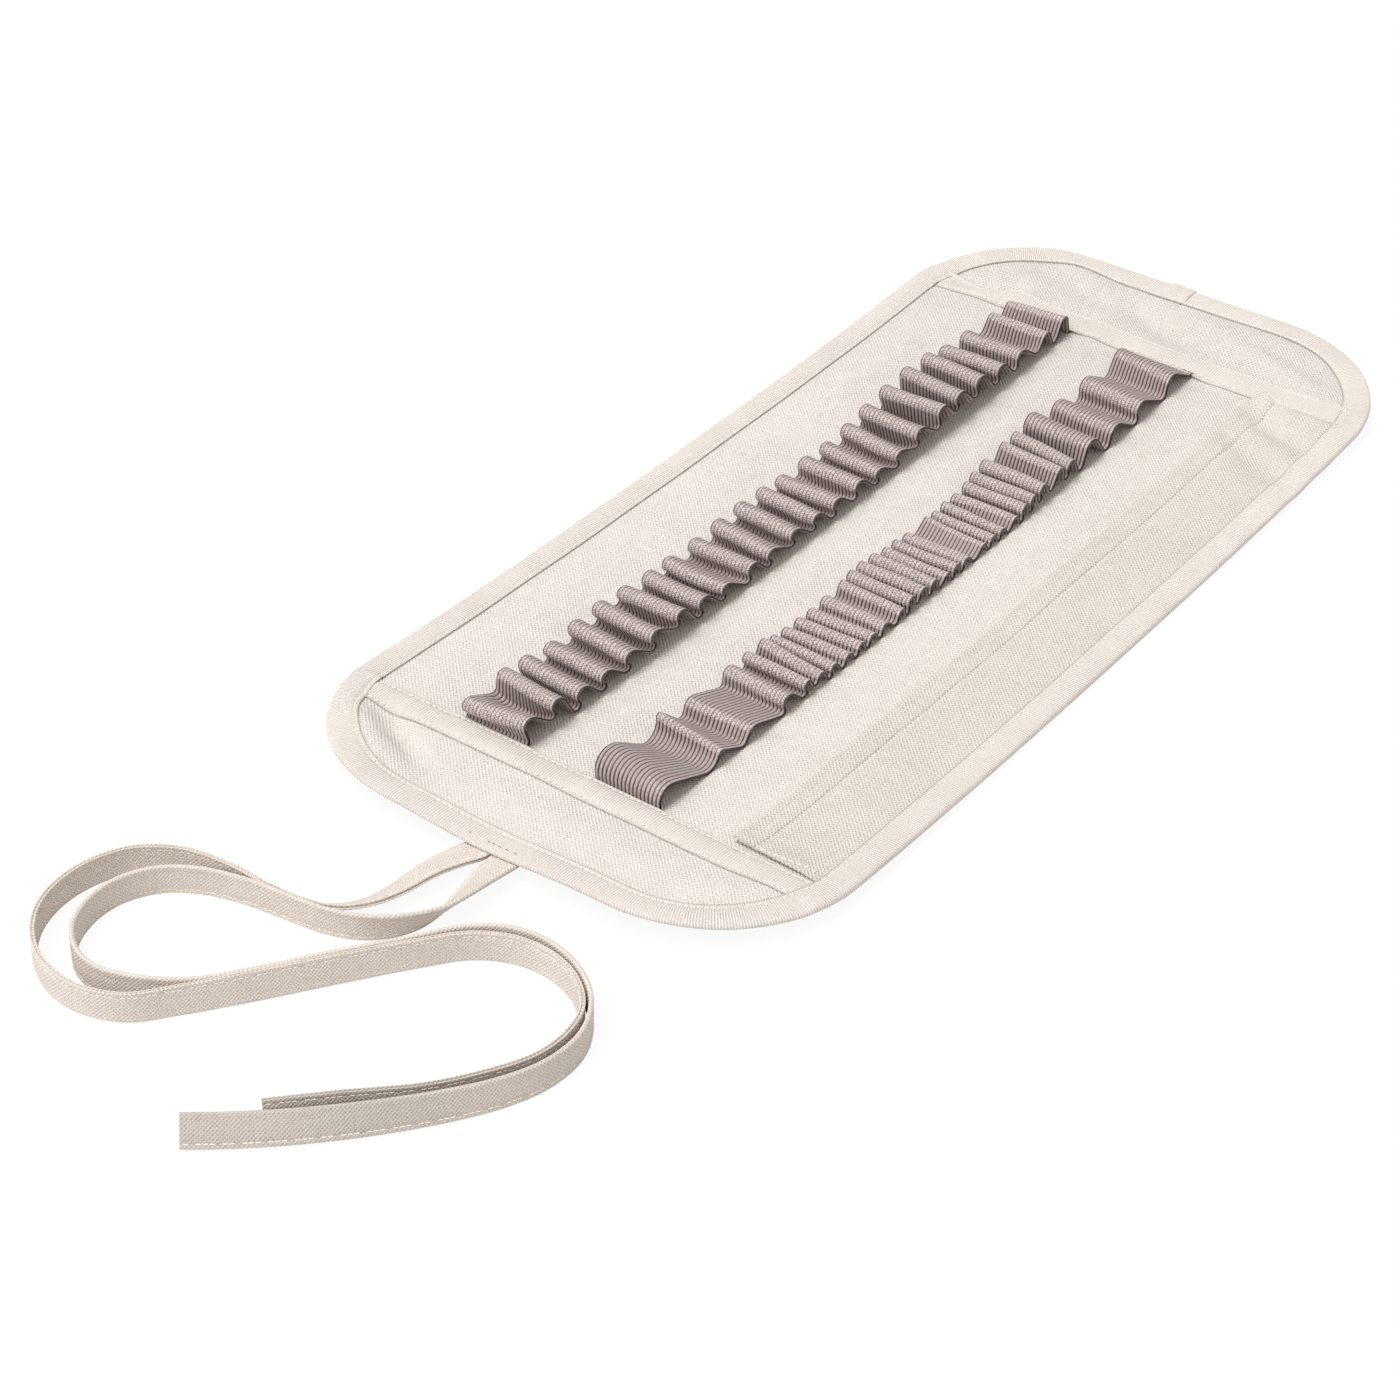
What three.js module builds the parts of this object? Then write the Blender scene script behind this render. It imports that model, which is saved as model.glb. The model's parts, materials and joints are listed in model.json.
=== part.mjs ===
// A roll-up pouch of cotton canvas, lying open on a table.
//
// A long mat with round corners is bound all round with folded tape. Two ribbed elastic bands are
// sewn down along it in a row of loops, a low pocket runs beside them, two cross strips cover the
// ends of the bands, and two tape ties leave the near end. The mat rolls up from its far end, so it
// is built in bays that meet at the fold lines, which are sewn valleys of both bands.
//
// Millimetres. X runs from the near end (ties) to the far end, Y to the plain side, Z up.
// The origin is on the table under the middle of the mat.

import * as THREE from 'three';

// The mat
const LENGTH = 524;
const WIDTH = 240;
const CORNER_RADIUS = 66.5;
const END_PANEL_NEAR = 45;
const END_PANEL_FAR = 48;
const END_LIFT = 4;
const END_LIFT_POWER = 2;
const CORNER_STEPS = 16;

// Cloth, tapes and the air between sewn layers
const CANVAS = 0.8;
const TAPE = 0.6;
const ELASTIC = 1.0;
const PLY_GAP = 0.1;
const EDGE_GAP = 0.2;
const BINDING_WIDTH = 12.7;
const LAP_EDGE_Y = -1;
const LAP_LENGTH = 14;
const LAP_RAMP = 3;
const STRIP_WIDTH = 14;
const STRIP_RAMP = 2;

// The pocket along the right side
const POCKET_MOUTH_Y = -67.2;
const POCKET_HEM = 10;
const POCKET_SEAM = 1.6;
const POCKET_END_GAP = 0.4;
const POCKET_RAMP = 10;

// The two elastic bands
const BAND_WIDTH = 32;
const LEFT_BAND_Y = 47;
const RIGHT_BAND_Y = -18.5;
const BAND_TAIL = 10;
const LEFT_LOOPS_IN_BAY = [2, 4, 4, 3, 3, 3, 3, 3];
const LEFT_CREST = [13.5, 13.5, 13.5, 13.5, 13.5, 14, 14.5, 12.5];
const LEFT_HINGE_FLAT = 0.6;
const LEFT_CREST_ROUND = 0.28;
const RIGHT_LOOP_WIDTHS = [
  [30],
  [21, 26, 15],
  [10, 10, 7, 7.5, 9, 9.5, 10.5],
  [8, 6.5, 8, 9, 8.5, 8],
  [11, 13, 7, 8.5, 8.5],
  [7.5, 7, 10, 13.5, 10],
  [18, 30],
  [24, 24],
];
const RIGHT_CREST = [13, 11, 8, 9, 7.5, 11, 13.5, 11];
const RIGHT_HINGE_FLAT = 1.5;
const RIGHT_CREST_ROUND = 0.22;
const VALLEY_ROUND = 0.11;
const VALLEY_FLAT = 0.3;
const CREST_SHARE_OF_RISE = 0.55;
const ARC_STEPS = 4;

// The fold lines between bays
const FOLD_GAP = 0.3;

// The ties: folded tape on edge, with the plan of each route as it lies on the table
const TIE_WIDTH = 12.7;
const TIE_THICKNESS = 1.3;
const TIE_ROOT = 10;
const TIE_TWIST_LENGTH = 48;
const TIE_DROP_LENGTH = 44;
const TIE_STEP = 7;
const SHORT_TIE_ROOT_Y = 3.3;
const LONG_TIE_ROOT_Y = -9.7;
const SHORT_TIE_ROUTE = [
  [-276, 4.5], [-292, 9.5], [-306, 14], [-317, 21], [-324, 33], [-327, 50], [-329, 70], [-333, 90],
  [-343, 105], [-357, 112.5], [-374, 114], [-390, 109], [-403, 97.5], [-410.5, 82], [-411.5, 66],
  [-405, 49.5], [-390, 36.5], [-370, 21.5], [-349, 6.5], [-322, -13.5], [-306, -27], [-298.5, -41],
  [-297, -55], [-301, -70], [-312, -83], [-326, -87.5], [-342, -86], [-360, -77], [-377, -65],
  [-396, -46], [-416, -27],
];
const LONG_TIE_ROUTE = [
  [-276, -10.2], [-290, -9.5], [-303, -6], [-314, 0.5], [-322, 10.5], [-327, 25], [-330, 42],
  [-333, 60], [-338, 78], [-347, 90.5], [-360, 97.5], [-374, 98], [-388, 92.5], [-397, 82],
  [-400, 69], [-396, 54.5], [-384, 38], [-367, 24.5], [-346, 10], [-320, -9], [-303, -22],
  [-294.5, -36], [-292.5, -51], [-296.5, -68], [-307, -83], [-323, -91.5], [-341, -91.5],
  [-358, -85], [-376, -73], [-396, -56], [-414, -38], [-428, -22], [-438, -9],
];

// Lengths along the mat
const nearEnd = -LENGTH / 2;
const farEnd = LENGTH / 2;
const nearStripX = nearEnd + END_PANEL_NEAR;
const farStripX = farEnd - END_PANEL_FAR - STRIP_WIDTH;
const bandStart = nearStripX + STRIP_WIDTH;
const bandEnd = farStripX;
const loopTotal = LEFT_LOOPS_IN_BAY.reduce((sum, n) => sum + n, 0);
const loopPitch = (bandEnd - bandStart) / loopTotal;
const bayCount = LEFT_LOOPS_IN_BAY.length;
const foldX = [nearStripX - FOLD_GAP];
for (let i = 0, loops = 0; i < bayCount - 1; i += 1) {
  loops += LEFT_LOOPS_IN_BAY[i];
  foldX.push(bandStart + loops * loopPitch);
}
foldX.push(farStripX + STRIP_WIDTH + FOLD_GAP);

// Heights of the sewn layers
const clothBottom = TAPE + PLY_GAP;
const clothTop = clothBottom + CANVAS;
const layerOne = clothTop + PLY_GAP;
const plainStack = layerOne + TAPE;
const pocketStack = plainStack + PLY_GAP + TAPE;
const clothInset = TAPE + PLY_GAP;

// Materials
const canvasLook = () => new THREE.MeshStandardMaterial({ color: '#ebe3d8', roughness: 0.95 });
const tapeLook = () => new THREE.MeshStandardMaterial({ color: '#e6ddd1', roughness: 0.95 });
const elasticLook = () => new THREE.MeshStandardMaterial({ color: '#a4948f', roughness: 0.9 });

// Closed solid through a row of equal sections. A section is a ribbon: it runs out along one face
// and back along the other, so its first half pairs with its second half and quads close the ends.
function loft(sections) {
  const count = sections[0].length;
  const positions = sections.flat().flatMap((p) => [p.x, p.y, p.z]);
  const index = [];
  for (let row = 0; row + 1 < sections.length; row += 1) {
    for (let k = 0; k < count; k += 1) {
      const a = row * count + k;
      const b = row * count + ((k + 1) % count);
      index.push(a, b, b + count, a, b + count, a + count);
    }
  }
  const last = (sections.length - 1) * count;
  for (let k = 0; k + 1 < count / 2; k += 1) {
    const [a, b, c, d] = [k, k + 1, count - 2 - k, count - 1 - k];
    index.push(c, b, a, d, c, a);
    index.push(last + a, last + b, last + c, last + a, last + c, last + d);
  }
  const geometry = new THREE.BufferGeometry();
  geometry.setAttribute('position', new THREE.Float32BufferAttribute(positions, 3));
  geometry.setIndex(volumeOf(positions, index) > 0 ? index : index.reverse());
  geometry.computeVertexNormals();
  return geometry;
}

// Signed volume, positive when the faces point out
function volumeOf(positions, index) {
  const corner = (i) => new THREE.Vector3().fromArray(positions, index[i] * 3);
  let total = 0;
  for (let i = 0; i < index.length; i += 3) {
    total += corner(i).dot(corner(i + 1).cross(corner(i + 2)));
  }
  return total / 6;
}

// How far the cloth of an end panel has lifted off the table at x
function lift(x) {
  const pastNear = Math.max(0, (foldX[0] - x) / (foldX[0] - nearEnd));
  const pastFar = Math.max(0, (x - foldX[bayCount]) / (farEnd - foldX[bayCount]));
  return END_LIFT * Math.max(pastNear, pastFar) ** END_LIFT_POWER;
}

// Half width of the mat's outline, drawn in by an inset, at x
function halfWidth(x, inset) {
  const radius = CORNER_RADIUS - inset;
  const past = Math.max(0, Math.abs(x) - (LENGTH / 2 - CORNER_RADIUS));
  return WIDTH / 2 - CORNER_RADIUS + Math.sqrt(Math.max(0, radius ** 2 - past ** 2));
}

// Places along x where an outline is sampled: close together round the corners
function stationsBetween(x0, x1, inset) {
  const radius = CORNER_RADIUS - inset;
  const straight = LENGTH / 2 - CORNER_RADIUS;
  const stations = [x0, x1];
  for (const end of [-1, 1]) {
    for (let k = 0; k < CORNER_STEPS; k += 1) {
      const x = end * (straight + radius * Math.sin((k / CORNER_STEPS) * (Math.PI / 2)));
      if (x > x0 + 1 && x < x1 - 1) {
        stations.push(x);
      }
    }
  }
  return stations.sort((a, b) => a - b);
}

// Cloth between two places along the mat
function clothPiece(x0, x1) {
  const sections = stationsBetween(x0, x1, clothInset).map((x) => {
    const half = halfWidth(x, clothInset);
    const z = lift(x);
    return [
      new THREE.Vector3(x, half, clothBottom + z),
      new THREE.Vector3(x, -half, clothBottom + z),
      new THREE.Vector3(x, -half, clothTop + z),
      new THREE.Vector3(x, half, clothTop + z),
    ];
  });
  return loft(sections);
}

// Folded tape, open towards the cloth: distance in from the edge, and height
function bindingSection(stack) {
  return [
    [BINDING_WIDTH, 0], [0, 0], [0, stack], [BINDING_WIDTH, stack],
    [BINDING_WIDTH, stack - TAPE], [TAPE, stack - TAPE], [TAPE, TAPE], [BINDING_WIDTH, TAPE],
  ];
}

// Height of the binding: more over the pocket, and more where the tape laps its own start
function bindingStack(x, y) {
  const inside = Math.min(x - nearStripX, farStripX + STRIP_WIDTH - x) / POCKET_RAMP;
  const overPocket = y < 0 ? THREE.MathUtils.clamp(inside, 0, 1) : 0;
  return plainStack + overPocket * (pocketStack - plainStack);
}

// Binding along one side of the mat, side 1 the plain side and side -1 the pocket side
function sideBinding(x0, x1, side) {
  const sections = stationsBetween(x0, x1, 0).map((x) => {
    const section = bindingSection(bindingStack(x, side));
    return section.map(([inset, z]) => new THREE.Vector3(x, side * halfWidth(x, inset), z));
  });
  return loft(sections);
}

// Binding round an end of the mat, end -1 near and end 1 far, cut square at the fold line. The far
// end's has a lap, where the tape comes round to its own start and lies over it.
function endBinding(cutX, end) {
  const straight = LENGTH / 2 - CORNER_RADIUS;
  const centreY = WIDTH / 2 - CORNER_RADIUS;
  const roundCorner = (side, share) => (inset) => {
    const radius = CORNER_RADIUS - inset;
    const cut = Math.asin((Math.abs(cutX) - straight) / radius);
    const angle = THREE.MathUtils.lerp(cut, Math.PI / 2, share);
    return [straight + radius * Math.sin(angle), side * (centreY + radius * Math.cos(angle))];
  };
  const alongEnd = (y) => (inset) => [LENGTH / 2 - inset, y];
  const places = [];
  for (let k = 0; k <= CORNER_STEPS; k += 1) {
    places.push({ planAt: roundCorner(1, k / CORNER_STEPS), stack: plainStack });
  }
  if (end > 0) {
    const lapEnd = LAP_EDGE_Y + LAP_LENGTH;
    places.push(
      { planAt: alongEnd(lapEnd + LAP_RAMP), stack: plainStack },
      { planAt: alongEnd(lapEnd), stack: plainStack + TAPE },
      { planAt: alongEnd(LAP_EDGE_Y), stack: plainStack + TAPE },
      { planAt: alongEnd(LAP_EDGE_Y - EDGE_GAP), stack: plainStack },
    );
  }
  for (let k = CORNER_STEPS; k >= 0; k -= 1) {
    places.push({ planAt: roundCorner(-1, k / CORNER_STEPS), stack: plainStack });
  }
  return loft(places.map(({ planAt, stack }) => bindingSection(stack).map(([inset, z]) => {
    const [outward, y] = planAt(inset);
    const x = end * outward;
    return new THREE.Vector3(x, y, z + lift(x));
  })));
}

// Pocket between two places along the mat: one layer, doubled in a hem along its mouth
function pocketPiece(x0, x1) {
  const seamY = -(WIDTH / 2 - clothInset - POCKET_SEAM);
  const hemY = POCKET_MOUTH_Y - POCKET_HEM;
  const under = [seamY, hemY - TAPE, hemY, POCKET_MOUTH_Y].map((y) => [y, layerOne]);
  const plies = [1, 1, 2, 2];
  const over = under.map(([y, z], k) => [y, z + plies[k] * TAPE]).reverse();
  const profile = [...under, ...over];
  return loft([x0, x1].map((x) => profile.map(([y, z]) => new THREE.Vector3(x, y, z))));
}

// Strip across the mat, stepping up over the sewn tails of the two bands
function crossStrip(x0) {
  const raised = layerOne + ELASTIC + PLY_GAP;
  const middle = [];
  for (const centre of [LEFT_BAND_Y, RIGHT_BAND_Y]) {
    const high = centre + BAND_WIDTH / 2;
    const low = centre - BAND_WIDTH / 2;
    middle.push([high + STRIP_RAMP, layerOne], [high + EDGE_GAP, raised]);
    middle.push([low - EDGE_GAP, raised], [low - STRIP_RAMP, layerOne]);
  }
  return loft(stationsBetween(x0, x0 + STRIP_WIDTH, BINDING_WIDTH).map((x) => {
    const reach = halfWidth(x, BINDING_WIDTH) - EDGE_GAP;
    const under = [[reach, layerOne], ...middle, [-reach, layerOne]];
    const over = under.map(([y, z]) => [y, z + TAPE]).reverse();
    return [...under, ...over].map(([y, z]) => new THREE.Vector3(x, y, z));
  }));
}

// Middle line of one loop: a flat, a tight curve, a straight flank, a round crest, and the same back
function loopLine(width, rise, crestRound) {
  const crest = Math.min(crestRound * width, CREST_SHARE_OF_RISE * rise);
  const valley = Math.min(VALLEY_ROUND * width, rise - crest);
  const across = width / 2 - VALLEY_FLAT;
  const up = rise - crest - valley;
  const slope = Math.atan2(up, across) + Math.asin(Math.min(1, (crest + valley) / Math.hypot(across, up)));
  const half = [];
  for (let k = 0; k <= ARC_STEPS; k += 1) {
    const turn = (slope * k) / ARC_STEPS;
    half.push({
      x: VALLEY_FLAT + valley * Math.sin(turn),
      z: valley * (1 - Math.cos(turn)),
      turn,
    });
  }
  for (let k = 0; k <= ARC_STEPS; k += 1) {
    const turn = slope * (1 - k / ARC_STEPS);
    half.push({
      x: width / 2 - crest * Math.sin(turn),
      z: rise - crest * (1 - Math.cos(turn)),
      turn,
    });
  }
  const back = half.slice(0, -1).reverse().map(({ x, z, turn }) => ({ x: width - x, z, turn: -turn }));
  return [...half, ...back];
}

// Elastic band in one bay: loops of the given widths between two places, as a ribbon of even thickness
function bandPiece({ x0, x1, from, to, widths, crestHeight, crestRound, centreY, flat }) {
  const middle = layerOne + ELASTIC / 2;
  const rise = crestHeight - ELASTIC / 2 - middle;
  const scale = (to - from - 2 * flat) / widths.reduce((sum, w) => sum + w, 0);
  const line = [{ x: x0, z: 0, turn: 0 }];
  let start = from + flat;
  for (const share of widths) {
    const width = share * scale;
    for (const { x, z, turn } of loopLine(width, rise, crestRound)) {
      line.push({ x: start + x, z, turn });
    }
    start += width;
  }
  line.push({ x: x1, z: 0, turn: 0 });
  const side = (sign) => line.map(({ x, z, turn }) => [
    x - sign * (ELASTIC / 2) * Math.sin(turn),
    middle + z + sign * (ELASTIC / 2) * Math.cos(turn),
  ]);
  const profile = [...side(-1), ...side(1).reverse()];
  const ends = [centreY - BAND_WIDTH / 2, centreY + BAND_WIDTH / 2];
  return loft(ends.map((y) => profile.map(([x, z]) => new THREE.Vector3(x, y, z))));
}

// Folded tape that starts flat under the near end and turns up on edge along its route
function tie(rootY, route) {
  const exit = nearEnd + TIE_THICKNESS;
  const rootZ = (x) => lift(x) - PLY_GAP - TIE_THICKNESS / 2;
  const points = [[nearEnd + TIE_ROOT, rootY], [exit, rootY], ...route];
  const curve = new THREE.CatmullRomCurve3(points.map(([x, y]) => new THREE.Vector3(x, y, 0)));
  const length = curve.getLength();
  const steps = Math.round(length / TIE_STEP);
  curve.arcLengthDivisions = steps * 8;
  const up = new THREE.Vector3(0, 0, 1);
  const sections = [];
  for (let k = 0; k <= steps; k += 1) {
    const place = curve.getPointAt(k / steps);
    const along = curve.getTangentAt(k / steps);
    const walked = (k / steps) * length - TIE_ROOT;
    const twist = (Math.PI / 2) * (1 - THREE.MathUtils.smoothstep(walked, 0, TIE_TWIST_LENGTH));
    const left = new THREE.Vector3().crossVectors(up, along);
    const wide = up.clone().multiplyScalar(Math.cos(twist)).addScaledVector(left, Math.sin(twist));
    const thin = new THREE.Vector3().crossVectors(along, wide);
    const halfHeight = (TIE_WIDTH * Math.cos(twist) + TIE_THICKNESS * Math.sin(twist)) / 2;
    const down = THREE.MathUtils.smoothstep(walked, 0, TIE_DROP_LENGTH);
    const hung = rootZ(Math.max(place.x, nearEnd));
    place.z = Math.max(halfHeight, THREE.MathUtils.lerp(hung, halfHeight, down));
    const corner = (w, t) => place.clone()
      .addScaledVector(wide, (w * TIE_WIDTH) / 2)
      .addScaledVector(thin, (t * TIE_THICKNESS) / 2);
    sections.push([corner(-1, -1), corner(1, -1), corner(1, 1), corner(-1, 1)]);
  }
  return loft(sections);
}

// One named piece, its vertices measured from the group that carries it
function piece(name, geometry, look, carrier) {
  geometry.translate(-carrier.position.x, 0, 0);
  const mesh = new THREE.Mesh(geometry, look);
  mesh.name = name;
  carrier.add(mesh);
}

const pouch = new THREE.Group();

const nearGroup = new THREE.Group();
nearGroup.position.x = foldX[0];
pouch.add(nearGroup);
piece('near_panel', clothPiece(nearEnd + clothInset, foldX[0] - FOLD_GAP / 2), canvasLook(), nearGroup);
piece('near_binding', endBinding(foldX[0] - FOLD_GAP / 2, -1), tapeLook(), nearGroup);
piece('short_tie', tie(SHORT_TIE_ROOT_Y, SHORT_TIE_ROUTE), tapeLook(), nearGroup);
piece('long_tie', tie(LONG_TIE_ROOT_Y, LONG_TIE_ROUTE), tapeLook(), nearGroup);

for (let i = 0; i < bayCount; i += 1) {
  const number = i + 1;
  const first = i === 0;
  const last = i === bayCount - 1;
  const x0 = foldX[i] + FOLD_GAP / 2;
  const x1 = foldX[i + 1] - FOLD_GAP / 2;
  const bay = new THREE.Group();
  bay.position.x = foldX[i];
  pouch.add(bay);
  piece(`cloth_${number}`, clothPiece(x0, x1), canvasLook(), bay);
  piece(`left_binding_${number}`, sideBinding(x0, x1, 1), tapeLook(), bay);
  piece(`right_binding_${number}`, sideBinding(x0, x1, -1), tapeLook(), bay);
  const pocketX0 = first ? bandStart + POCKET_END_GAP : x0;
  const pocketX1 = last ? bandEnd - POCKET_END_GAP : x1;
  piece(`pocket_${number}`, pocketPiece(pocketX0, pocketX1), canvasLook(), bay);
  const span = {
    x0: first ? bandStart - BAND_TAIL : x0,
    x1: last ? bandEnd + BAND_TAIL : x1,
    from: first ? bandStart : foldX[i],
    to: last ? bandEnd : foldX[i + 1],
  };
  piece(`left_band_${number}`, bandPiece({
    ...span,
    widths: new Array(LEFT_LOOPS_IN_BAY[i]).fill(loopPitch),
    crestHeight: LEFT_CREST[i],
    crestRound: LEFT_CREST_ROUND,
    centreY: LEFT_BAND_Y,
    flat: LEFT_HINGE_FLAT,
  }), elasticLook(), bay);
  piece(`right_band_${number}`, bandPiece({
    ...span,
    widths: RIGHT_LOOP_WIDTHS[i],
    crestHeight: RIGHT_CREST[i],
    crestRound: RIGHT_CREST_ROUND,
    centreY: RIGHT_BAND_Y,
    flat: RIGHT_HINGE_FLAT,
  }), elasticLook(), bay);
  if (first) {
    piece('near_strip', crossStrip(nearStripX), tapeLook(), bay);
  }
  if (last) {
    piece('far_strip', crossStrip(farStripX), tapeLook(), bay);
  }
}

const farGroup = new THREE.Group();
farGroup.position.x = foldX[bayCount];
pouch.add(farGroup);
piece('far_panel', clothPiece(foldX[bayCount] + FOLD_GAP / 2, farEnd - clothInset), canvasLook(), farGroup);
piece('far_binding', endBinding(foldX[bayCount] + FOLD_GAP / 2, 1), tapeLook(), farGroup);

export default pouch;
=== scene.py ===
# %% [markdown]
# # A roll-up pouch in canvas and ribbed elastic
#
# The pouch is a long canvas mat, bound all round with folded tape, with two looped elastic bands, a
# low pocket, two cross strips and two tie tapes. Every piece is a strip of cloth of some kind, so one
# idea makes them all: two grids of points, one for each face of the cloth, are worked out with numpy
# and joined round their edges. Lengths are in millimetres until a mesh is made. X runs along the mat,
# Y across it and Z up.

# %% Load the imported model
import json
import math

import bpy
import numpy as np
from mathutils import Matrix

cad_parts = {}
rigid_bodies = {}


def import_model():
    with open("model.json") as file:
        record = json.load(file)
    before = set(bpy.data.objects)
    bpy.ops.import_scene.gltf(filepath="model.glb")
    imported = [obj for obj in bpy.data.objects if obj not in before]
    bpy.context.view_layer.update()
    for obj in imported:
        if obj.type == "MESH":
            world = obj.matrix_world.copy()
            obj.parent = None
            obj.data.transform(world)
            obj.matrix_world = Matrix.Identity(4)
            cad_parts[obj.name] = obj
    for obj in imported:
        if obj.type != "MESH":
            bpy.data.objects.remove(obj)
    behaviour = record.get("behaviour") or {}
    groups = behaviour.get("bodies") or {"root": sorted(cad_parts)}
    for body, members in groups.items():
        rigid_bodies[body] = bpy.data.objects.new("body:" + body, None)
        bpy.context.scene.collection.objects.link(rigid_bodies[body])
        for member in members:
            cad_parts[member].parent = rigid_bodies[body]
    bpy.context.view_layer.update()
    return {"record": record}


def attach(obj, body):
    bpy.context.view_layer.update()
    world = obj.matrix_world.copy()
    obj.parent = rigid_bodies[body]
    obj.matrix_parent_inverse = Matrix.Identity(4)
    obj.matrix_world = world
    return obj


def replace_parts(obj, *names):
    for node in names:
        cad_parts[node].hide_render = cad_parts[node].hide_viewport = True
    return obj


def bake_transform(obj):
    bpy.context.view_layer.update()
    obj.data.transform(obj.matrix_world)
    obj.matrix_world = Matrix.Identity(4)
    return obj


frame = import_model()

MM = 0.001
hinges = frame["record"]["behaviour"]["joints"]
bodies = [hinges[0]["parent"]] + [hinge["child"] for hinge in hinges]
fold_x = np.array([hinge["pos_m"][0] for hinge in hinges]) / MM
cut_x = (fold_x[1:] + fold_x[:-1]) / 2
print("bodies along the mat:", bodies)
print("fold lines, mm:", fold_x.round(1))

# %% [markdown]
# ## Camera
#
# A photograph is matched by standing where it was taken. The camera is 1.3 m from the mat and 36.5
# degrees above the table, and looks from the corner between the tie end and the pocket's side. Its
# direction is worked out from those two angles, and its lens from the size of the mat in the picture.

# %% Camera at the photograph's angle
AZIMUTH, ELEVATION, DISTANCE = math.radians(216.82), math.radians(36.53), 1311.49
TARGET = np.array([-129.91, 1.47, 0.0])
LENS, CLIP_END = 83.86, 50.0


def show(name, data):
    """An object of this name and data, put into the scene."""
    made = bpy.data.objects.new(name, data)
    bpy.context.scene.collection.objects.link(made)
    return made


to_camera = np.array([math.cos(ELEVATION) * math.cos(AZIMUTH), math.cos(ELEVATION) * math.sin(AZIMUTH),
                      math.sin(ELEVATION)])
sideways = np.array([-math.sin(AZIMUTH), math.cos(AZIMUTH), 0.0])
turned = np.stack([sideways, np.cross(to_camera, sideways), to_camera], axis=1)
camera = show("camera", bpy.data.cameras.new("camera"))
camera.data.lens, camera.data.clip_end = LENS, CLIP_END
camera.location = (TARGET + DISTANCE * to_camera) * MM
camera.rotation_euler = Matrix(turned.tolist()).to_euler()
bpy.context.scene.camera = camera
print("camera at", [round(v, 3) for v in camera.location])

# %% [markdown]
# ## Light and floor
#
# White cloth on white needs soft light from above. A pale sky on its own would do, but then neither
# the loops nor the swells of the cloth have a lit side. So a lamp stands high over the mat, and a
# broader and softer one comes in low from the tie end, as from a window. The sky is a little warm,
# as a room's light is, so that shadows are brownish on cream cloth. The three add up to a level at
# which a colour renders about as it is written. The photograph's shadow on the table is very faint,
# as on a lit table, so the camera sees the floor mostly as plain white, with a small share of a
# surface that takes the shadow. Other rays meet a matt floor a little below white.

# %% Nodes and colours
SKY_COLOUR = "#fffaf4"


def linear(code):
    """An sRGB hex colour as linear light: below 0.04045 a straight line, above it a power of 2.4."""
    share = np.array([int(code[i:i + 2], 16) for i in (1, 3, 5)]) / 255
    return (*np.where(share <= 0.04045, share / 12.92, ((share + 0.055) / 1.055) ** 2.4).tolist(), 1.0)


def add(tree, kind, inputs=(), **settings):
    """Adds one node. Settings are its own properties. Inputs go to sockets by name, or as a list to
    the first ones: a value is set, an output is linked, and a node links its first output in use.
    Map Range's list is the value, then the range that it comes from, then the one that it goes to."""
    made = tree.nodes.new("ShaderNode" + kind)
    for name, value in settings.items():
        setattr(made, name, value)
    for key, value in inputs.items() if isinstance(inputs, dict) else enumerate(inputs):
        if isinstance(value, bpy.types.Node):
            value = next(output for output in value.outputs if output.enabled)
        if isinstance(value, bpy.types.NodeSocket):
            tree.links.new(value, made.inputs[key])
        else:
            made.inputs[key].default_value = value
    return made


print("the sky's colour in linear light:", [round(v, 3) for v in linear(SKY_COLOUR)])

# %% Sky, lamps and floor
SKY_LEVEL, FLOOR_GLOW = 0.52, 0.92
FLOOR_HALF, FLOOR_DROP = 20.0, 0.0002
# name, strength, degrees that it is tilted towards the left side and towards the near end, angular size
LAMPS = [("high lamp", 1.66, 10, 12, 26), ("low window", 0.72, 12, 50, 40)]

world = bpy.data.worlds.new("soft sky")
table = bpy.data.materials.new("white painted table")
for owner in (world, table):
    owner.use_nodes = True
    owner.node_tree.nodes.clear()

tree = world.node_tree
rays = add(tree, "LightPath").outputs
seen = add(tree, "Math", [rays["Is Camera Ray"], rays["Is Glossy Ray"]], operation="MAXIMUM")
dim = add(tree, "Background", {"Color": linear(SKY_COLOUR), "Strength": SKY_LEVEL})
white = add(tree, "Background", {"Color": linear("#ffffff"), "Strength": 1.0})
add(tree, "OutputWorld", {"Surface": add(tree, "MixShader", [seen, dim, white])})
bpy.context.scene.world = world

for name, strength, left_tilt, near_tilt, size in LAMPS:
    lamp = show(name, bpy.data.lights.new(name, "SUN"))
    lamp.data.energy, lamp.data.angle = strength, math.radians(size)
    lamp.rotation_euler = (-math.radians(left_tilt), -math.radians(near_tilt), 0)

tree = table.node_tree
rays = add(tree, "LightPath").outputs
matt = add(tree, "BsdfDiffuse", {"Color": linear("#e8e8e8")})
shaded = add(tree, "BsdfDiffuse", {"Color": linear("#fefefe")})
plain = add(tree, "Emission", {"Color": linear("#ffffff"), "Strength": 1.0})
watched = add(tree, "MixShader", [FLOOR_GLOW, shaded, plain])
add(tree, "OutputMaterial", {"Surface": add(tree, "MixShader", [rays["Is Camera Ray"], matt, watched])})
floor_mesh = bpy.data.meshes.new("floor")
corners = [(x * FLOOR_HALF, y * FLOOR_HALF, -FLOOR_DROP) for x, y in ((-1, -1), (1, -1), (1, 1), (-1, 1))]
floor_mesh.from_pydata(corners, [], [(0, 1, 2, 3)])
floor_mesh.materials.append(table)
floor = show("floor", floor_mesh)
bpy.context.scene.view_settings.view_transform = "Standard"
print("lamps:", [name for name, *_ in LAMPS], "and a sky at", SKY_LEVEL)

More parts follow.
